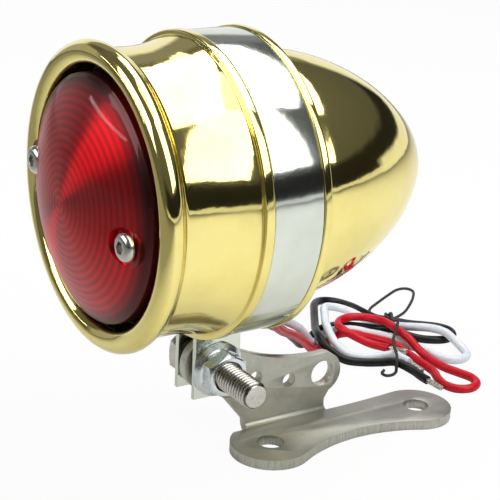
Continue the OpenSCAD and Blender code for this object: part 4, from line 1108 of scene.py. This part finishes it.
def make_floor():
    half = FLOOR_SIZE / 2
    corners = [(-half, -half, 0), (half, -half, 0), (half, half, 0), (-half, half, 0)]
    floor = link_mesh("floor", corners, [(0, 1, 2, 3)])
    paint = Paint("pale_floor").set(Roughness=0.9)
    pale = paint.ramp(paint.noise(0.2, 2), *FLOOR_PALE)
    ahead = paint.ramp(paint.math("MULTIPLY", paint.axis("Y"), -1 / FLOOR_SPAN), *FLOOR_AHEAD)
    paint.link(paint.mix(ahead, pale, FLOOR_GREY), "Base Color")
    rays = paint.nodes.new("ShaderNodeLightPath").outputs
    white = paint.nodes.new("ShaderNodeEmission")
    blend = paint.nodes.new("ShaderNodeMixShader")
    paint.links.new(paint.math("MULTIPLY", rays["Is Camera Ray"], FLOOR_WHITE), blend.inputs[0])
    paint.links.new(paint.shader.outputs[0], blend.inputs[1])
    paint.links.new(white.outputs[0], blend.inputs[2])
    paint.links.new(blend.outputs[0], paint.nodes["Material Output"].inputs["Surface"])
    floor.data.materials.append(paint.material)


# Studio seen by everything but the camera: levels of light at heights from 0 to 1, the horizon at 0.5
STUDIO = ((0.0, 0.8), (0.499, 0.8), (0.501, 0.015), (0.62, 0.02), (0.65, 0.1), (1.0, 0.14))
# Its parts: an azimuth in degrees, and the part's share by how far a direction goes that way
BACKDROP = (170, (0.69, 0.0), (0.75, 1.0))
SWEEP = (115, (0.76, 0.0), (0.82, 0.95))
FRONT = (-120, (0.3, 0.0), (0.7, 1.0))
# The backdrop is pale up to a height, and darker below a depth, which is its side towards the lens
BACKDROP_HEIGHT = ((0.66, 0.95), (0.7, 0.25))
BACKDROP_DEPTH = ((0.44, 0.4), (0.5, 1.0))
# To the right of the backdrop, seen from the camera, only a low strip is pale
SWEEP_HEIGHT = ((0.53, 1.0), (0.545, 0.0))
SWEEP_LEVEL = (0.95, 0.95, 0.95)
# In front of the lens the room is one dark grey, high and low
FRONT_LEVEL = (0.12, 0.12, 0.12)


def direction(azimuth, height):
    """Unit vector towards an azimuth from +X and a height above the floor, in degrees."""
    a, h = math.radians(azimuth), math.radians(height)
    return Vector((math.cos(a) * math.cos(h), math.sin(a) * math.cos(h), math.sin(h)))


def make_world():
    world = bpy.data.worlds.new("studio")
    scene.world = world
    world.use_nodes = True
    graph = Graph(world.node_tree, "Generated")

    def share(azimuth, *stops):
        return graph.ramp(graph.along(direction(azimuth, 0)), *stops)

    height = graph.math("MULTIPLY_ADD", graph.axis("Z"), 0.5, 0.5)
    depth = graph.math("MULTIPLY_ADD", graph.axis("Y"), 0.5, 0.5)
    room = graph.mix(share(*FRONT), graph.ramp(height, *STUDIO), FRONT_LEVEL)
    sweep = graph.math("MULTIPLY", share(*SWEEP), graph.ramp(height, *SWEEP_HEIGHT))
    backdrop = graph.mix(
        1.0, graph.ramp(height, *BACKDROP_HEIGHT), graph.ramp(depth, *BACKDROP_DEPTH), "MULTIPLY"
    )
    light = graph.mix(share(*BACKDROP), graph.mix(sweep, room, SWEEP_LEVEL), backdrop)
    seen = graph.nodes.new("ShaderNodeLightPath").outputs["Is Camera Ray"]
    background = graph.nodes["Background"]
    graph.links.new(graph.mix(seen, light, (1.0, 1.0, 1.0)), background.inputs["Color"])


def softbox(name, azimuth, height, size, level, roll=0):
    """Area light of a size in metres and a level of light, a metre away and turned towards the lamp."""
    data = bpy.data.lights.new(name, "AREA")
    data.shape = "RECTANGLE"
    data.size, data.size_y = size
    data.energy = level * math.pi * size[0] * size[1]
    light = bpy.data.objects.new(name, data)
    scene.collection.objects.link(light)
    towards = direction(azimuth, height)
    light.location = LAMP + towards
    turn = towards.to_track_quat("Z", "Y").to_matrix() @ Matrix.Rotation(math.radians(roll), 3, "Z")
    light.rotation_euler = turn.to_euler()


make_floor()
make_world()
softbox("softbox_rear", azimuth=110, height=67, size=(1.06, 0.6), level=3.2, roll=-14)
softbox("softbox_side", azimuth=20, height=44, size=(0.75, 0.95), level=2.9)
softbox("softbox_back", azimuth=146, height=47, size=(0.25, 0.2), level=2)
softbox("softbox_top", azimuth=20, height=84, size=(0.5, 0.5), level=1.6)
softbox("softbox_front", azimuth=-104, height=36, size=(0.85, 0.5), level=4)
softbox("strip_front", azimuth=-126, height=15.5, size=(0.62, 0.022), level=7)

scene.view_settings.view_transform = "Standard"
